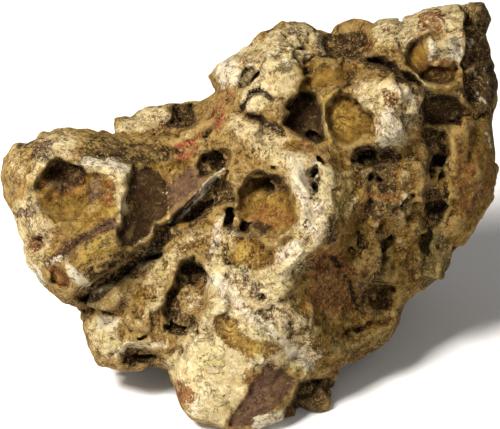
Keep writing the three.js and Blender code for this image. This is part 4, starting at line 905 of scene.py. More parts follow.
def facets(places, size, seed):
    """Flat facets with crisp steps between them: each of a set of scattered middles carries a plane with
    a slope by chance, and the planes are blended with weights that fall steeply with squared distance."""
    scaled = places @ LATTICE_TURN.T / size
    base = np.floor(scaled - 0.5)
    total = np.zeros(len(places))
    weights = np.full(len(places), 1e-9)
    for corner in CORNERS:
        cell = (base + corner).T
        square = 0
        height = 0
        for axis in range(3):
            offset = scaled[:, axis] - cell[axis] - MIDDLE_START - MIDDLE_SPREAD * chance(*cell, seed + axis)
            square = square + offset ** 2
            height = height + offset * (2 * chance(*cell, seed + 3 + axis) - 1)
        weight = np.exp(-FACET_STEEPNESS * square)
        total += weight * height
        weights += weight
    return total / weights


def combed(places, size, seed):
    """Sharp crests that run one way: one less twice the distance of a swell from nought, with the places
    turned and pressed together along the run."""
    across = COMB_UP * places[:, 0] - COMB_ACROSS * places[:, 1]
    along = COMB_PRESSING * (COMB_ACROSS * places[:, 0] + COMB_UP * places[:, 1])
    return 1 - 2 * np.abs(swell(np.stack([across, along, places[:, 2]], 1), size, seed))


def layers(kind, places, rows):
    """One kind of relief at several sizes: for each row its height times the relief, added up."""
    return sum(height * kind(places, size, seed) for size, seed, height in rows)


def wander(places):
    """Each place moved by slow swells, which bends every edge and rim that is measured from it."""
    moves = [layers(swell, places, rows) for rows in (WANDER_ACROSS, WANDER_UP, WANDER_OUT)]
    return places + np.stack(moves, 1)


def shatter(places):
    """Each place moved by facets, across and up the face, which makes rims angular."""
    moves = [layers(facets, places, rows) for rows in (SHATTER_ACROSS, SHATTER_UP)]
    return places + np.stack([*moves, np.zeros(len(places))], 1)


def bent_lattice(axes):
    """The wandered and shattered place of each lattice point, worked out on a coarse lattice and blended
    along one axis after another."""
    coarse = [np.arange(axis[0], axis[-1] + 2 * BENT_STEP, BENT_STEP) for axis in axes]
    places = np.stack(np.meshgrid(*coarse, indexing="ij"), -1)
    bent = shatter(wander(places.reshape(-1, 3))).reshape(places.shape).astype(np.float32)
    for number, axis in enumerate(axes):
        index = (axis - axis[0]) / BENT_STEP
        low = np.floor(index).astype(int)
        share = (index - low).astype(np.float32).reshape([-1 if other == number else 1 for other in range(4)])
        bent = np.take(bent, low, number) * (1 - share) + np.take(bent, low + 1, number) * share
    return bent


def to_stretch(across, up, start, end):
    """Distance from places to a stretch of line, the share walked along it, and the side, 1 for left."""
    run, rise = end[0] - start[0], end[1] - start[1]
    dot = (across - start[0]) * run + (up - start[1]) * rise
    along = np.clip(dot / (run * run + rise * rise), 0, 1)
    distance = np.hypot(across - start[0] - along * run, up - start[1] - along * rise)
    return distance, along, np.sign(run * (up - start[1]) - rise * (across - start[0]))


def outline_distance(across, up, outline):
    """Distance to a closed outline on the face, negative where a line to the right crosses it an odd
    number of times."""
    nearest = np.full(across.shape, 1e9)
    within = np.zeros(across.shape, bool)
    for start, end in zip(outline, np.roll(outline, -1, 0)):
        nearest = np.minimum(nearest, to_stretch(across, up, start, end)[0])
        if start[1] != end[1]:
            crossing = (end[0] - start[0]) * (up - start[1]) / (end[1] - start[1]) + start[0]
            within ^= ((start[1] > up) != (end[1] > up)) & (across < crossing)
    return np.where(within, -nearest, nearest)


def crease_lift(across, up, crease):
    """How far a crease lifts the face: on each side its lift times an exponential of the distance over
    its reach, faded in and out along the line."""
    _, left_lift, left_reach, right_lift, right_reach, points = crease
    best = np.full(across.shape, 1e9)
    walked = np.zeros(across.shape)
    side = np.ones(across.shape)
    length = 0
    for start, end in zip(points[:-1], points[1:]):
        run = math.dist(start, end)
        distance, along, which = to_stretch(across, up, start, end)
        nearer = distance < best
        best = np.where(nearer, distance, best)
        walked = np.where(nearer, length + along * run, walked)
        side = np.where(nearer, which, side)
        length += run
    fade = np.clip(np.minimum(walked, length - walked) / length * CREASE_ENDS, 0, 1) ** CREASE_FADING
    sided = ease(best * side, -CREASE_SOFT, CREASE_SOFT)
    left = left_lift * np.exp(-best / left_reach)
    right = right_lift * np.exp(-best / right_reach)
    return fade * (sided * left + (1 - sided) * right)


def plane_at(across, up, plane):
    """How much a plane counts at places, eased in over its edge, and how far it moves the face there:
    its lift and slopes."""
    _, lift, slope_across, slope_up, width, _, points = plane
    middle = np.mean(points, 0)
    moved = lift + slope_across * (across - middle[0]) + slope_up * (up - middle[1])
    share = ease(-outline_distance(across, up, np.array(points)), -width / 3, width)
    return share, share * moved


def form_at(across, up):
    """The broad form at places on the face: the soundings averaged with bell-shaped weights, the
    creases added to the front, and the rear wall upright in the room."""
    square = (across[:, None] - SOUNDINGS[:, 0]) ** 2 + (up[:, None] - SOUNDINGS[:, 1]) ** 2
    weight = np.exp(-square / (2 * SOUNDING_REACH ** 2)) + 1e-12
    front, rear, turn, rough = (weight @ SOUNDINGS[:, 2:] / weight.sum(1, keepdims=True)).T
    bent = shatter(wander(np.stack([across, up, np.full(across.shape, BEND_OUT)], 1)))
    line = np.zeros(across.shape)
    for crease in CREASES:
        lifted = crease_lift(bent[:, 0], bent[:, 1], crease)
        front = front + lifted
        if max(crease[2], crease[4]) <= NARROW:
            line = np.where(np.abs(lifted) > np.abs(line), lifted, line)
    for plane in PLANES:
        share, moved = plane_at(bent[:, 0], bent[:, 1], plane)
        front = front + moved
        rough = rough + (plane[5] - rough) * share
    return {
        "line": line,
        "edge": outline_distance(across, up, EDGE),
        "front": front,
        "back": (up * OUT_TO_HEIGHT - rear) / UP_TO_HEIGHT,
        "turn": turn,
        "rough": rough,
    }


def face_height(across, up):
    """The face's height at places: the front less what the quarter-round turn to the sides takes."""
    form = form_at(across, up)
    past = np.maximum(form["edge"] + form["turn"], 0)
    return form["front"] - form["turn"] + np.sqrt(np.maximum(form["turn"] ** 2 - past ** 2, 0))


def body_distance(form, out):
    """Distance to the stone before pits and lumps: the edge carried back with a taper, and rounded
    over to the front and the rear wall."""
    turn = form["turn"]
    sideways = form["edge"] + SIDE_TAPER * np.maximum(form["front"] - turn - out, 0)
    through = np.maximum(out - form["front"], form["back"] - out)
    corner = np.hypot(np.maximum(sideways + turn, 0), np.maximum(through + turn, 0))
    return corner - turn + np.minimum(np.maximum(sideways, through) + turn, 0)


def egg_distance(places, middle, half, turn, slant=0):
    """Distance to an egg-shaped ball with blunt flats: a blend of its scaled radius and its farthest flat,
    times that blend less one, over the slope. The slant moves its deeper parts up the face."""
    x, y, out = (places - middle).T
    y = y + slant * out
    local = np.stack([
        x * math.cos(turn) + y * math.sin(turn),
        y * math.cos(turn) - x * math.sin(turn),
        out,
    ], 1) / half
    near = np.linalg.norm(local, axis=1)
    spin = middle[0] + middle[1]
    spun = np.stack([
        FLATS[:, 0] * math.cos(spin) - FLATS[:, 1] * math.sin(spin),
        FLATS[:, 0] * math.sin(spin) + FLATS[:, 1] * math.cos(spin),
        FLATS[:, 2],
    ])
    blunt = EGG_ROUND * near + EGG_FLAT * np.abs(local @ spun).max(1)
    return blunt * (blunt - 1) / (np.linalg.norm(local / half, axis=1) + 1e-9)


def eggs_on_face(rows):
    """The rows of a table of lumps or pits as middle, half sizes, turn and soft edge, set at the face."""
    table = np.array([row[1:] for row in rows], float)
    height = face_height(table[:, 0], table[:, 1]) - table[:, 2]
    middles = np.stack([table[:, 0], table[:, 1], height], 1)
    return [(middle, row[3:6], math.radians(row[6]), row[7]) for middle, row in zip(middles, table)]


def hidden_eggs(count, least, more, out_limit):
    """Pits on the sides and back: directions set by the golden angle, each walked out from the stone's
    heart until it leaves the body, with sizes by chance."""
    index = np.arange(count)
    tilt = 1 - 2 * (index + 0.5) / count
    ring = np.sqrt(1 - tilt * tilt)
    turn = index * GOLDEN_ANGLE
    ways = np.stack([ring * np.cos(turn), tilt, ring * np.sin(turn)], 1)
    towards_floor = ways[:, 1] * UP_TO_HEIGHT + ways[:, 2] * OUT_TO_HEIGHT
    kept = (ways[:, 2] <= out_limit) & (towards_floor >= LOWEST_POINTING)
    index, ways, turn = index[kept], ways[kept], turn[kept]
    walked = np.full(len(index), float(HEART_RADIUS))
    inside = np.ones(len(index), bool)
    while inside.any():
        places = HEART + ways * walked[:, None]
        inside = body_distance(form_at(places[:, 0], places[:, 1]), places[:, 2]) < 0
        walked += inside
    places = HEART + ways * walked[:, None]
    size = least + more * chance(index, 2, 5, 7)
    slim = HIDDEN_PIT_SLIMMEST + (1 - HIDDEN_PIT_SLIMMEST) * chance(index, 3, 1, 4)
    halves = size[:, None] * np.stack([np.ones(len(index)), slim, slim], 1)
    return [(middle, half, angle, HIDDEN_PIT_SOFT) for middle, half, angle in zip(places, halves, turn)]


def carve(axes, values, bent):
    """Joins the lumps to the body and cuts the pits out of it, each within the block of the lattice that
    its largest half size, its slant and its soft edge can reach."""
    def work_egg(middle, half, turn, soft, slant, join):
        reach = (1 + slant) * max(half) + EGG_MARGIN + soft
        block = tuple(
            slice(*np.searchsorted(axis, (at - reach, at + reach))) for axis, at in zip(axes, middle)
        )
        places = bent[block]
        distance = egg_distance(places.reshape(-1, 3), middle, half, turn, slant).reshape(places.shape[:3])
        values[block] = join(values[block], distance, soft)

    for lump in eggs_on_face(LUMPS):
        work_egg(*lump, 0, soft_min)
    pits = eggs_on_face(PITS)
    for row in HIDDEN_PITS:
        pits += hidden_eggs(*row)
    for pit in pits:
        work_egg(*pit, PIT_SLANT, lambda one, two, width: soft_max(one, -two, width))


def skin_relief(places, bent, form):
    """How far the skin is moved: bowls and facets less combed crests, times the roughness, with slow
    swells, knots and grain. The roughness runs to that of the hidden sides, and is less on the flanks."""
    front, rough = form["front"], form["rough"]
    hidden = np.clip((front - HIDDEN_START * form["turn"] - places[:, 2]) / HIDDEN_FADE, 0, 1)
    rough = rough + (HIDDEN_ROUGHNESS - rough) * hidden + LEAST_ROUGHNESS
    flank = ease(form["edge"], *FLANK_EDGE) * ease(places[:, 2] - front, *FLANK_OUT)
    rough = rough * (1 - FLANK_SMOOTHING * flank)
    move = rough * layers(bowls, bent, BOWL_RELIEF)
    move += rough * layers(facets, bent, FACET_RELIEF)
    move -= rough * layers(combed, bent, COMBED_RELIEF)
    behind = hidden * HIDDEN_HEIGHT * swell(places, HIDDEN_SIZE, HIDDEN_SEED)
    move += layers(swell, places, SLOW_RELIEF) + behind
    knots = KNOT_HEIGHT * rough * swell(bent, KNOT_SIZE, KNOT_SEED)
    return move + (knots + (GRAIN_LEAST + GRAIN_MORE * rough) * swell(bent, GRAIN_SIZE, GRAIN_SEED))


def stone_field(cell):
    """Distance to the stone on a lattice of the given cell: the body with its lumps and pits, moved by
    the relief where it is within the skin, and cut off flat at the resting plane. Negative inside."""
    axes = (
        np.arange(-MARGIN, FACE_WIDTH + MARGIN, cell),
        np.arange(-MARGIN, FACE_HEIGHT + MARGIN, cell),
        np.arange(BACK_OUT, FRONT_OUT, cell),
    )
    columns = np.stack(np.meshgrid(axes[0], axes[1], indexing="ij"), -1).reshape(-1, 2)
    form = form_at(columns[:, 0], columns[:, 1])
    shape = (len(axes[0]), len(axes[1]), 1)
    form = {name: values.reshape(shape).astype(np.float32) for name, values in form.items()}
    values = body_distance(form, axes[2].astype(np.float32)[None, None, :])
    bent = bent_lattice(axes)
    carve(axes, values, bent)
    near = np.nonzero(np.abs(values) < SKIN_DEPTH)
    places = np.stack([axis[index] for axis, index in zip(axes, near)], 1)
    near_form = {name: part[near[0], near[1], 0] for name, part in form.items()}
    values[near] += skin_relief(places, bent[near], near_form).astype(np.float32)
    height = axes[1][None, :, None] * UP_TO_HEIGHT + axes[2][None, None, :] * OUT_TO_HEIGHT
    return axes, np.maximum(values, (RESTING_HEIGHT - height).astype(np.float32))


def corner_values(values, cells):
    """The values at the eight corners of each cell."""
    return np.stack([values[tuple((cells + corner).T)] for corner in CORNERS], 1)


def cell_codes(values):
    """For each cell, a byte with a bit for each corner that is inside the stone."""
    inside = values < 0
    codes = np.zeros(tuple(size - 1 for size in values.shape), np.uint8)
    for bit, corner in enumerate(CORNERS):
        part = tuple(slice(step, size - 1 + step) for step, size in zip(corner, values.shape))
        codes |= inside[part].astype(np.uint8) << bit
    return codes


def hang_together(corners):
    """Whether corners of a cell are joined along its edges."""
    reached = set(corners[:1])
    for _ in corners:
        for one, two in CELL_EDGES:
            if one in corners and two in corners and reached & {one, two}:
                reached |= {one, two}
    return len(reached) == len(corners)


def part_sheets(values, cell):
    """Fills a corner of each cell that two sheets of the surface would share, until none is left: the one
    with the most filled corners next to it, and of those the one nearest to the surface."""
    beside = np.zeros((8, 8))
    for one, two in CELL_EDGES:
        beside[one, two] = beside[two, one] = 1
    plain = np.array([
        hang_together([bit for bit in range(8) if code >> bit & 1])
        and hang_together([bit for bit in range(8) if not code >> bit & 1])
        for code in range(256)
    ])
    shared = np.argwhere(~plain[cell_codes(values)])
    while len(shared):
        corners = corner_values(values, shared)
        rank = np.where(corners < 0, np.inf, corners - PAST_ANY_DISTANCE * ((corners < 0) @ beside))
        filled = shared + np.array(CORNERS)[rank.argmin(1)]
        values[tuple(filled.T)] = -FILLED_DEPTH * cell
        around = np.unique((filled[:, None] - CORNERS).reshape(-1, 3), axis=0)
        around = around[((around >= 0) & (around < np.array(values.shape) - 1)).all(1)]
        codes = ((corner_values(values, around) < 0) << np.arange(8)).sum(1)
        shared = around[~plain[codes]]


def surface_of(axes, values, cell):
    """The surface where the field is zero: one point in each cell that it crosses, the mean of where the
    cell's edges cross it, and a four-sided face for each lattice line that crosses it."""
    codes = cell_codes(values)
    crossed = (codes != 0) & (codes != 255)
    cells = np.argwhere(crossed)
    corners = corner_values(values, cells)
    total = np.zeros((len(cells), 3))
    count = np.zeros(len(cells))
    for one, two in CELL_EDGES:
        start, end = corners[:, one], corners[:, two]
        cuts = (start < 0) != (end < 0)
        share = np.where(cuts, start / np.where(cuts, start - end, 1), 0)[:, None]
        spot = np.array(CORNERS[one]) * (1 - share) + np.array(CORNERS[two]) * share
        total += spot * cuts[:, None]
        count += cuts
    spots = (cells + total / count[:, None]) * cell + [axis[0] for axis in axes]
    number = np.full(crossed.shape, -1)
    number[crossed] = np.arange(len(cells))
    inside = values < 0
    faces = []
    steps = np.eye(3, dtype=int)
    for axis in range(3):
        lower = tuple(slice(1, -1) if other != axis else slice(0, -1) for other in range(3))
        upper = tuple(slice(1, -1) if other != axis else slice(1, None) for other in range(3))
        offset = np.array([0 if other == axis else 1 for other in range(3)])
        lines = np.argwhere(inside[lower] != inside[upper]) + offset
        second, third = steps[(axis + 1) % 3], steps[(axis + 2) % 3]
        ring = [lines, lines - second, lines - second - third, lines - third]
        quads = np.stack([number[tuple(corner.T)] for corner in ring], 1)
        starts_inside = inside[tuple(lines.T)]
        quads[starts_inside] = quads[starts_inside][:, ::-1]
        faces.append(quads)
    return spots, np.concatenate(faces)


def largest_body(spots, faces):
    """The surface without specks and sealed pockets: each point takes the lowest number that it can
    reach along the faces, and the commonest number is kept."""
    label = np.arange(len(spots))
    edges = np.concatenate([faces[:, [0, 1]], faces[:, [1, 2]], faces[:, [2, 3]]])
    while True:
        lower = label.copy()
        np.minimum.at(lower, edges[:, 0], label[edges[:, 1]])
        np.minimum.at(lower, edges[:, 1], label[edges[:, 0]])
        lower = lower[lower]
        if (lower == label).all():
            break
        label = lower
    kept = label == np.bincount(label).argmax()
    renumber = np.cumsum(kept) - 1
    return spots[kept], renumber[faces[kept[faces[:, 0]]]]


def crowding(values, cell, radius):
    """The share of rock in a cube round each lattice point, from running sums along the three axes:
    more than a half in a hollow, less than a half on a ridge."""
    share = (values < 0).astype(np.float32)
    steps = max(round(radius / cell), 1)
    width = 2 * steps + 1
    for axis in range(3):
        padding = [(steps + 1, steps) if other == axis else (0, 0) for other in range(3)]
        total = np.cumsum(np.pad(share, padding, mode="edge"), axis, dtype=np.float32)
        size = share.shape[axis]
        ends = np.take(total, range(width, width + size), axis)
        share = (ends - np.take(total, range(size), axis)) / width
    return share


def at_places(axes, lattice, places, cell):
    """Lattice values at places, blended between the eight points round each."""
    scaled = (places - [axis[0] for axis in axes]) / cell
    base = np.clip(np.floor(scaled).astype(int), 0, np.array(lattice.shape) - 2)
    near = scaled - base
    total = np.zeros(len(places))
    for corner in CORNERS:
        total += corner_weight(near, corner) * lattice[tuple((base + corner).T)]
    return total


def paint(places, line, sunk, fine, broad, seen):
    """How much of each finish there is at each place, from 0 to 1: patches inside outlines on the face,
    painted shade in dark brown in the sharp grooves and painted highlights on the sharp ridges, slow
    swells on the hidden sides, painted shade in dark brown in deep pits and narrow hollows, ochre by
    depth below the skin, and painted highlights in pale colours on the ridges."""
    moves = [layers(swell, places, rows) for rows in (PATCH_WANDER_ACROSS, PATCH_WANDER_UP)]
    bent = wander(places) + np.stack([*moves, np.zeros(len(places))], 1)
    amount = {name: np.zeros(len(places)) for name in FINISHES}

    def lay(name, share):
        amount[name] = np.maximum(amount[name], share)

    for name, strength, edge, points in PATCHES:
        away = outline_distance(bent[:, 0], bent[:, 1], np.array(points))
        lay(name, np.clip(0.5 - away / edge, 0, 1) * strength * seen)
    hidden = 1 - seen
    pale = np.maximum(amount["cream"], amount["white"]) * seen + HIDDEN_PALE * hidden
    ridge_share = RIDGE_LEAST + RIDGE_BY_PALE * pale
    # Painted shade in the sharp grooves and painted highlights on the sharp ridges
    lay("umber", GROOVE_PAINTED_SHADE * seen * ease(-line, *SHARP_GROOVE))
    lay("white", ridge_share * seen * ease(line, *SHARP_RIDGE))
    for number, (name, level) in enumerate(HIDDEN_COLOURS):
        rows = [(size, seed + number, height) for size, seed, height in HIDDEN_COLOUR_SWELLS]
        slow = layers(swell, bent, rows)
        lay(name, hidden * np.clip(0.5 + HIDDEN_COLOUR_GAIN * (slow - level), 0, 1))
    broad_ridge = ease(-broad, *BROAD_RIDGE)
    # Painted shade in deep pits and in narrow hollows
    lay("umber", ease(sunk, *DEEP) * ease(broad, *BROAD_HOLLOW))
    lay("umber", HOLLOW_PAINTED_SHADE * ease(fine, *FINE_HOLLOW))
    lay("ochre", SUNK_OCHRE * ease(sunk, *SUNK))
    # Painted highlights on the ridges: they lose ochre and take pale colours
    amount["ochre"] *= 1 - RIDGE_TAKES_OCHRE * broad_ridge
    lay("cream", ridge_share * broad_ridge)
    lay("white", (FINE_RIDGE_LEAST + FINE_RIDGE_BY_PALE * pale) * ease(-fine, *FINE_RIDGE))
    amount["pale"] = pale
    return amount


def settings():
    """The values that a user would change."""
    return bpy.context.scene.dragon_stone


def new_node(tree, kind, place, **values):
    """A node of a kind at a place, with properties or input values set by name."""
    node = tree.nodes.new(kind)
    node.location = (place[0] * NODE_SPACING[0], -place[1] * NODE_SPACING[1])
    for name, value in values.items():
        if name in node.inputs:
            node.inputs[name].default_value = value
        else:
            setattr(node, name, value)
    return node


def noise_of(tree, coordinates, place, name):
    """The factor of a noise from the table, whose scale is one over its size."""
    size, detail, roughness, distortion = NOISES[name]
    node = new_node(tree, "ShaderNodeTexNoise", place, Scale=1 / (size * MM), Detail=detail,
                    Roughness=roughness, Distortion=distortion)
    tree.links.new(coordinates, node.inputs["Vector"])
    return node.outputs["Fac"]


def attribute_of(tree, name, place):
    """A number that the mesh carries at its points."""
    return new_node(tree, "ShaderNodeAttribute", place, attribute_name=name).outputs["Fac"]


def math_of(tree, operation, one, two, place, clamp=False):
    """One operation on two values or links."""
    node = new_node(tree, "ShaderNodeMath", place, operation=operation, use_clamp=clamp)
    for socket, value in zip(node.inputs, (one, two)):
        if isinstance(value, (int, float)):
            socket.default_value = value
        else:
            tree.links.new(value, socket)
    return node.outputs[0]


def step_of(tree, value, low, high, place):
    """A smooth step of a link between two levels."""
    node = new_node(tree, "ShaderNodeMapRange", place, interpolation_type="SMOOTHSTEP")
    node.inputs["From Min"].default_value = low
    node.inputs["From Max"].default_value = high
    tree.links.new(value, node.inputs["Value"])
    return node.outputs["Result"]


def mix_of(tree, factor, one, two, place, blend="MIX"):
    """A mix of two colours or links by a factor."""
    node = new_node(tree, "ShaderNodeMix", place, data_type="RGBA", blend_type=blend)
    for socket, value in ((node.inputs[0], factor), (node.inputs[6], one), (node.inputs[7], two)):
        if isinstance(value, bpy.types.NodeSocket):
            tree.links.new(value, socket)
        elif isinstance(value, (int, float)):
            socket.default_value = value
        else:
            socket.default_value = (*value, 1)
    return node.outputs[2]


def spread_of(tree, coordinates, place, name):
    """A noise less a half, times its gain."""
    noise = noise_of(tree, coordinates, place, name)
    centred = math_of(tree, "SUBTRACT", noise, 0.5, (place[0] + 1, place[1]))
    return math_of(tree, "MULTIPLY", centred, GAINS[name], (place[0] + 2, place[1]))


def finish_colours(tree, coordinates):
    """The tone, and tan with each finish laid over the last where its attribute and the raggedness, added
    up, pass a half. Each finish runs from its dark colour to its own with the tone."""
    values = settings()
    ragged, ragged_fine, tone, tone_fine = (
        spread_of(tree, coordinates, (-8, 1 + row), name)
        for row, name in enumerate(("ragged", "ragged fine", "tone", "tone fine"))
    )
    raggedness = math_of(tree, "ADD", ragged, ragged_fine, (-5, 1))
    tone = math_of(tree, "ADD", tone, tone_fine, (-5, 3))
    tone = math_of(tree, "ADD", tone, 0.5, (-4, 3), clamp=True)
    colour = mix_of(tree, tone, values.tan_dark, values.tan, (-2, 0))
    for column, name in enumerate(FINISHES):
        row = 5 + column
        edge = math_of(tree, "ADD", attribute_of(tree, name, (-4, row)), raggedness, (-3, row))
        mask = step_of(tree, edge, *FINISH_EDGE, (-2, row))
        own = mix_of(tree, tone, getattr(values, name + "_dark"), getattr(values, name), (-1, row))
        colour = mix_of(tree, mask, colour, own, (column, 0))
    return tone, colour


def bump_of(tree, height, tall, normal, place):
    """A bump as tall as given in millimetres, over the bump before it."""
    bump = new_node(tree, "ShaderNodeBump", place, Strength=1.0, Distance=tall * MM)
    tree.links.new(height, bump.inputs["Height"])
    if normal:
        tree.links.new(normal, bump.inputs["Normal"])
    return bump.outputs["Normal"]


def marked(tree, coordinates, colour):
    """The colour with every mark laid over it, and the bumps as a normal. A mark's mask is a smooth step
    of a noise or of an attribute, and most masks are multiplied by how uneven the rock is. Some marks are
    painted light: shade where the relief is low and in hollows and notches, and highlights where it is
    high and on ridges and crests."""
    values = settings()
    uneven, pale, fine, thin = (
        attribute_of(tree, name, (0, 2 + row)) for row, name in enumerate(("uneven", "pale", "fine", "thin"))
    )
    # The pale colours of the painted highlights, which the real light flecks use too
    colours = {
        "bright": mix_of(tree, pale, values.tan, values.cream, (1, 2)),
        "brightest": mix_of(tree, pale, values.yellow, values.white, (1, 3)),
    }
    rows = {name: 2 + row for row, name in enumerate(MARKS)}

    def noise(name):
        return noise_of(tree, coordinates, (2, rows.get(name, 2 + len(rows))), name)

    def step(name, value):
        return step_of(tree, value, *MARKS[name][:2], (5, rows[name]))

    def times(name, one, two):
        return math_of(tree, "MULTIPLY", one, two, (7, rows[name]))

    def plus(name, one, two):
        return math_of(tree, "ADD", one, two, (6, rows[name]), clamp=True)

    combed_way = new_node(tree, "ShaderNodeMapping", (1, rows["strokes"]), vector_type="TEXTURE",
                          Rotation=STROKE_TURN, Scale=STROKE_STRETCH)
    tree.links.new(coordinates, combed_way.inputs["Vector"])
    strokes = noise_of(tree, combed_way.outputs["Vector"], (2, rows["strokes"]), "strokes")
    relief = noise("relief")
    flecks = spread_of(tree, coordinates, (2, rows["fleck"]), "fleck")
    stained = times("stain", step("stain", noise("stain")), plus("stain", uneven, STAIN_ON_SMOOTH))
    from_line = math_of(tree, "SUBTRACT", noise("crack"), 0.5, (3, rows["crack"]))
    from_line = math_of(tree, "ABSOLUTE", from_line, 0, (4, rows["crack"]))
    some = step_of(tree, noise("crack places"), *CRACK_PLACES, (6, rows["crack"]))
    masks = {
        "stain": stained,
        "moss": step("moss", noise("moss")),
        # Painted shade where the relief that the bumps follow is low, and painted highlights where it is high
        "low": times("low", step("low", relief), uneven),
        "high": times("high", step("high", relief), uneven),
        # Painted highlights on ridges and crests, and painted shade in hollows and notches
        "ridge": step("ridge", fine),
        "crest": step("crest", thin),
        "shade": step("shade", fine),
        "notch": step("notch", thin),
        "strokes": times("strokes", step("strokes", strokes), plus("strokes", stained, STROKES_UNSTAINED)),
        "fleck": times("fleck", step("fleck", flecks), uneven),
        "crack": times("crack", step("crack", from_line), some),
    }
    for column, (name, (_, _, strength, over, blend)) in enumerate(MARKS.items()):
        share = math_of(tree, "MULTIPLY", masks[name], strength, (9 + column, 1))
        over = colours[over] if over in colours else getattr(values, over)
        colour = mix_of(tree, share, colour, over, (9 + column, 0), blend)

    normal = None
    heights = (
        (times("low", relief, uneven), RELIEF_BUMP),
        (noise("grain"), GRAIN_BUMP),
        (strokes, STROKE_BUMP),
        (math_of(tree, "SUBTRACT", 1, masks["crack"], (8, rows["crack"])), CRACK_BUMP),
    )
    for row, (height, tall) in enumerate(heights):
        normal = bump_of(tree, height, tall, normal, (17, 5 + row))
    return colour, normal


def stone_material():
    """Matt clay rock: the finishes with the marks over them, bumps, and a roughness that runs from its
    lower to its higher value with the tone."""
    material = bpy.data.materials.new("weathered clay rock")
    material.use_nodes = True
    tree = material.node_tree
    tree.nodes.clear()
    output = new_node(tree, "ShaderNodeOutputMaterial", (23, 0))
    shader = new_node(tree, "ShaderNodeBsdfPrincipled", (21, 0))
    tree.links.new(shader.outputs["BSDF"], output.inputs["Surface"])
    shader.inputs["Specular IOR Level"].default_value = ROCK_HIGHLIGHT
    coordinates = new_node(tree, "ShaderNodeTexCoord", (-9, 0)).outputs["Object"]
    tone, colour = finish_colours(tree, coordinates)
    colour, normal = marked(tree, coordinates, colour)
    rough = new_node(tree, "ShaderNodeMapRange", (19, 2))
    rough.inputs["To Min"].default_value = ROCK_ROUGHNESS[0]
    rough.inputs["To Max"].default_value = ROCK_ROUGHNESS[1]
    tree.links.new(tone, rough.inputs["Value"])
    tree.links.new(colour, shader.inputs["Base Color"])
    tree.links.new(rough.outputs["Result"], shader.inputs["Roughness"])
    tree.links.new(normal, shader.inputs["Normal"])
    return material


def add_attribute(mesh, name, values):
    """A number for each point of a mesh."""
    attribute = mesh.attributes.new(name, "FLOAT", "POINT")
    attribute.data.foreach_set("value", values.astype(np.float32))


def thinned(mesh, triangles):
    """A mesh brought down to a number of triangles where it is flattest, by collapsing edges."""
    holder = bpy.data.objects.new("stone to thin", mesh)
    bpy.context.scene.collection.objects.link(holder)
    mesh.calc_loop_triangles()
    modifier = holder.modifiers.new("thin", "DECIMATE")
    modifier.ratio = min(1, triangles / len(mesh.loop_triangles))
    modifier.use_collapse_triangulate = True
    result = bpy.data.meshes.new_from_object(holder.evaluated_get(bpy.context.evaluated_depsgraph_get()))
    bpy.data.objects.remove(holder)
    return result


def make_stone():
    """The whole stone, as the zero surface of its field."""
    values = settings()
    cell = values.cell / MM * 1
    axes, field = stone_field(cell)
    part_sheets(field, cell)
    spots, faces = largest_body(*surface_of(axes, field, cell))
    points = to_room(spots)
    points[:, 2] = np.maximum(points[:, 2], 0)
    mesh = bpy.data.meshes.new("weathered_stone")
    mesh.from_pydata(points, [], faces)
    mesh = thinned(mesh, values.triangles)
    mesh.name = "weathered_stone"

    points = np.empty(len(mesh.vertices) * 3)
    mesh.vertices.foreach_get("co", points)
    places = to_face(points.reshape(-1, 3))
    form = form_at(places[:, 0], places[:, 1])
    sunk = -body_distance(form, places[:, 2])
    fine = at_places(axes, crowding(field, cell, FINE_CROWDING), places, cell)
    broad = at_places(axes, crowding(field, cell, BROAD_CROWDING), places, cell)
    seen = ease(places[:, 2] - form["front"] + form["turn"], *SEEN_OUT)
    for name, amount in paint(places, form["line"], sunk, fine, broad, seen).items():
        add_attribute(mesh, name, amount)
    add_attribute(mesh, "fine", fine)
    add_attribute(mesh, "thin", at_places(axes, crowding(field, cell, cell), places, cell))
    uneven = UNEVEN_LEAST + (1 - UNEVEN_LEAST) * ease(form["rough"], *UNEVEN_ROUGHNESS)
    add_attribute(mesh, "uneven", uneven)
    mesh.polygons.foreach_set("use_smooth", np.ones(len(mesh.polygons), bool))
    mesh.update()
    stone = bpy.data.objects.new("weathered_stone", mesh)
    bpy.context.scene.collection.objects.link(stone)
    stone.data.materials.append(stone_material())
    return stone


def area_light(name, place, target, size, power, colour):
    """A soft square light at a place, turned to a target."""
    data = bpy.data.lights.new(name, "AREA")
    data.size = size
    data.energy = power
    data.color = colour
    light = bpy.data.objects.new(name, data)
    light.location = place
    light.rotation_euler = (Vector(target) - Vector(place)).to_track_quat("-Z", "Y").to_euler()
    bpy.context.scene.collection.objects.link(light)


def colour_property(name, red, green, blue):
    """A colour that a user can change."""
    return bpy.props.FloatVectorProperty(
        name=name, description=f"{name} of the stone", default=(red, green, blue), subtype="COLOR",
        min=0, max=1)


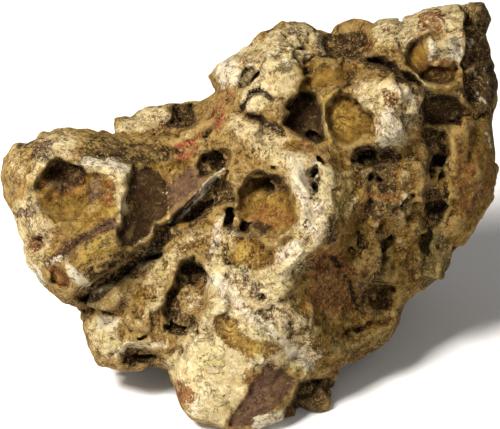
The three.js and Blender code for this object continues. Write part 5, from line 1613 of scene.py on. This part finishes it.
class DragonStoneSettings(bpy.types.PropertyGroup):
    """The fineness of the surface, the view and light, and the colours of the floor and the rock"""
    cell: bpy.props.FloatProperty(
        name="Cell", description="Size of the lattice cells that the surface is worked out on",
        default=1.1 * MM, min=0.8 * MM, max=6 * MM, unit="LENGTH", precision=4)
    triangles: bpy.props.IntProperty(
        name="Triangles", description="How many triangles the surface keeps", default=190000, min=5000)
    camera_distance: bpy.props.FloatProperty(
        name="Camera distance", description="From the camera to the stone's face", default=1.6, unit="LENGTH")
    light_power: bpy.props.FloatProperty(
        name="Light power", description="Power of the main light", default=34.5, unit="POWER")
    floor_colour: colour_property("Floor colour", 0.9, 0.89, 0.88)
    tan: colour_property("Tan", 0.50, 0.335, 0.115)
    tan_dark: colour_property("Dark tan", 0.24, 0.13, 0.03)
    ochre: colour_property("Ochre", 0.37, 0.215, 0.035)
    ochre_dark: colour_property("Dark ochre", 0.15, 0.072, 0.01)
    # Pale ground of the rock, also used as a painted highlight on ridges
    cream: colour_property("Cream", 0.88, 0.74, 0.42)
    cream_dark: colour_property("Dark cream", 0.53, 0.385, 0.165)
    yellow: colour_property("Yellow", 0.62, 0.43, 0.095)
    yellow_dark: colour_property("Dark yellow", 0.34, 0.195, 0.04)
    olive: colour_property("Olive", 0.20, 0.155, 0.05)
    olive_dark: colour_property("Dark olive", 0.10, 0.075, 0.026)
    rust: colour_property("Rust", 0.36, 0.145, 0.035)
    rust_dark: colour_property("Dark rust", 0.15, 0.055, 0.015)
    plum: colour_property("Plum", 0.205, 0.112, 0.062)
    plum_dark: colour_property("Dark plum", 0.085, 0.042, 0.024)
    # Dark brown of the rock, also used as painted shade and shadow in recesses, grooves and hollows
    umber: colour_property("Umber", 0.08, 0.04, 0.014)
    umber_dark: colour_property("Dark umber", 0.032, 0.014, 0.004)
    brick: colour_property("Brick", 0.48, 0.12, 0.065)
    brick_dark: colour_property("Dark brick", 0.28, 0.07, 0.03)
    # Palest streaks of the rock, also used as painted highlights on ridges and lit edges
    white: colour_property("White", 0.95, 0.88, 0.72)
    white_dark: colour_property("Dark white", 0.67, 0.56, 0.35)
    # Dark brown of real streaks, and of the painted shade where the relief is low and in hollows and notches
    dirt: colour_property("Dirt", 0.22, 0.105, 0.032)
    stain: colour_property("Stain", 0.55, 0.34, 0.17)
    moss: colour_property("Moss", 0.70, 0.72, 0.40)


class DRAGON_STONE_OT_stone(bpy.types.Operator):
    """Works out the stone's surface, paints it and puts it in the scene"""
    bl_idname = "dragon_stone.stone"
    bl_label = "Add stone"

    def execute(self, context):
        stone = make_stone()
        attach(stone, "root")
        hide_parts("stone")
        return {"FINISHED"}


class DRAGON_STONE_OT_stage(bpy.types.Operator):
    """Puts in the pale floor, the soft lights and the camera"""
    bl_idname = "dragon_stone.stage"
    bl_label = "Add stage"

    def execute(self, context):
        values = settings()
        mesh = bpy.data.meshes.new("floor")
        side = FLOOR_SIDE
        corners = [(-side, -side, 0), (side, -side, 0), (side, side, 0), (-side, side, 0)]
        mesh.from_pydata(corners, [], [(0, 1, 2, 3)])
        floor = bpy.data.objects.new("floor", mesh)
        context.scene.collection.objects.link(floor)
        material = bpy.data.materials.new("pale floor")
        material.use_nodes = True
        shader = material.node_tree.nodes["Principled BSDF"]
        shader.inputs["Base Color"].default_value = (*values.floor_colour, 1)
        shader.inputs["Roughness"].default_value = FLOOR_ROUGHNESS
        mesh.materials.append(material)

        world = bpy.data.worlds.new("pale room")
        world.use_nodes = True
        background = world.node_tree.nodes["Background"]
        background.inputs["Color"].default_value = ROOM_COLOUR
        background.inputs["Strength"].default_value = ROOM_STRENGTH
        context.scene.world = world
        context.scene.view_settings.view_transform = "Standard"

        middle = to_room(AIM)[0]
        sight = np.array((0, -UP_TO_HEIGHT, OUT_TO_HEIGHT))
        rise = np.array((0, OUT_TO_HEIGHT, UP_TO_HEIGHT))
        right = np.array((1, 0, 0))
        for name, away, steps, size, share, colour in LIGHTS:
            place = middle + away * (steps[0] * right + steps[1] * rise + steps[2] * sight)
            area_light(name, place, middle, size, values.light_power * share, colour)

        data = bpy.data.cameras.new("camera")
        camera = bpy.data.objects.new("camera", data)
        context.scene.collection.objects.link(camera)
        camera.location = middle + values.camera_distance * sight
        camera.rotation_euler = Vector(-sight).to_track_quat("-Z", "Y").to_euler()
        data.sensor_width = SENSOR_WIDTH
        data.lens = data.sensor_width * values.camera_distance / (VIEW_WIDTH * MM)
        data.clip_end = FARTHEST_SEEN
        context.scene.camera = camera
        return {"FINISHED"}


class DRAGON_STONE_PT_panel(bpy.types.Panel):
    """Both buttons and every setting"""
    bl_label = "Dragon stone"
    bl_idname = "DRAGON_STONE_PT_panel"
    bl_space_type = "VIEW_3D"
    bl_region_type = "UI"
    bl_category = "Dragon stone"

    def draw(self, context):
        for operator in OPERATORS:
            self.layout.operator(operator.bl_idname)
        for name in DragonStoneSettings.__annotations__:
            self.layout.prop(settings(), name)


OPERATORS = (DRAGON_STONE_OT_stone, DRAGON_STONE_OT_stage)
CLASSES = (DragonStoneSettings, *OPERATORS, DRAGON_STONE_PT_panel)


def register():
    for cls in CLASSES:
        bpy.utils.register_class(cls)
    bpy.types.Scene.dragon_stone = bpy.props.PointerProperty(type=DragonStoneSettings)


def unregister():
    del bpy.types.Scene.dragon_stone
    for cls in reversed(CLASSES):
        bpy.utils.unregister_class(cls)


def main():
    register()
    bpy.ops.dragon_stone.stone()
    bpy.ops.dragon_stone.stage()


if __name__ == "__main__":
    main()
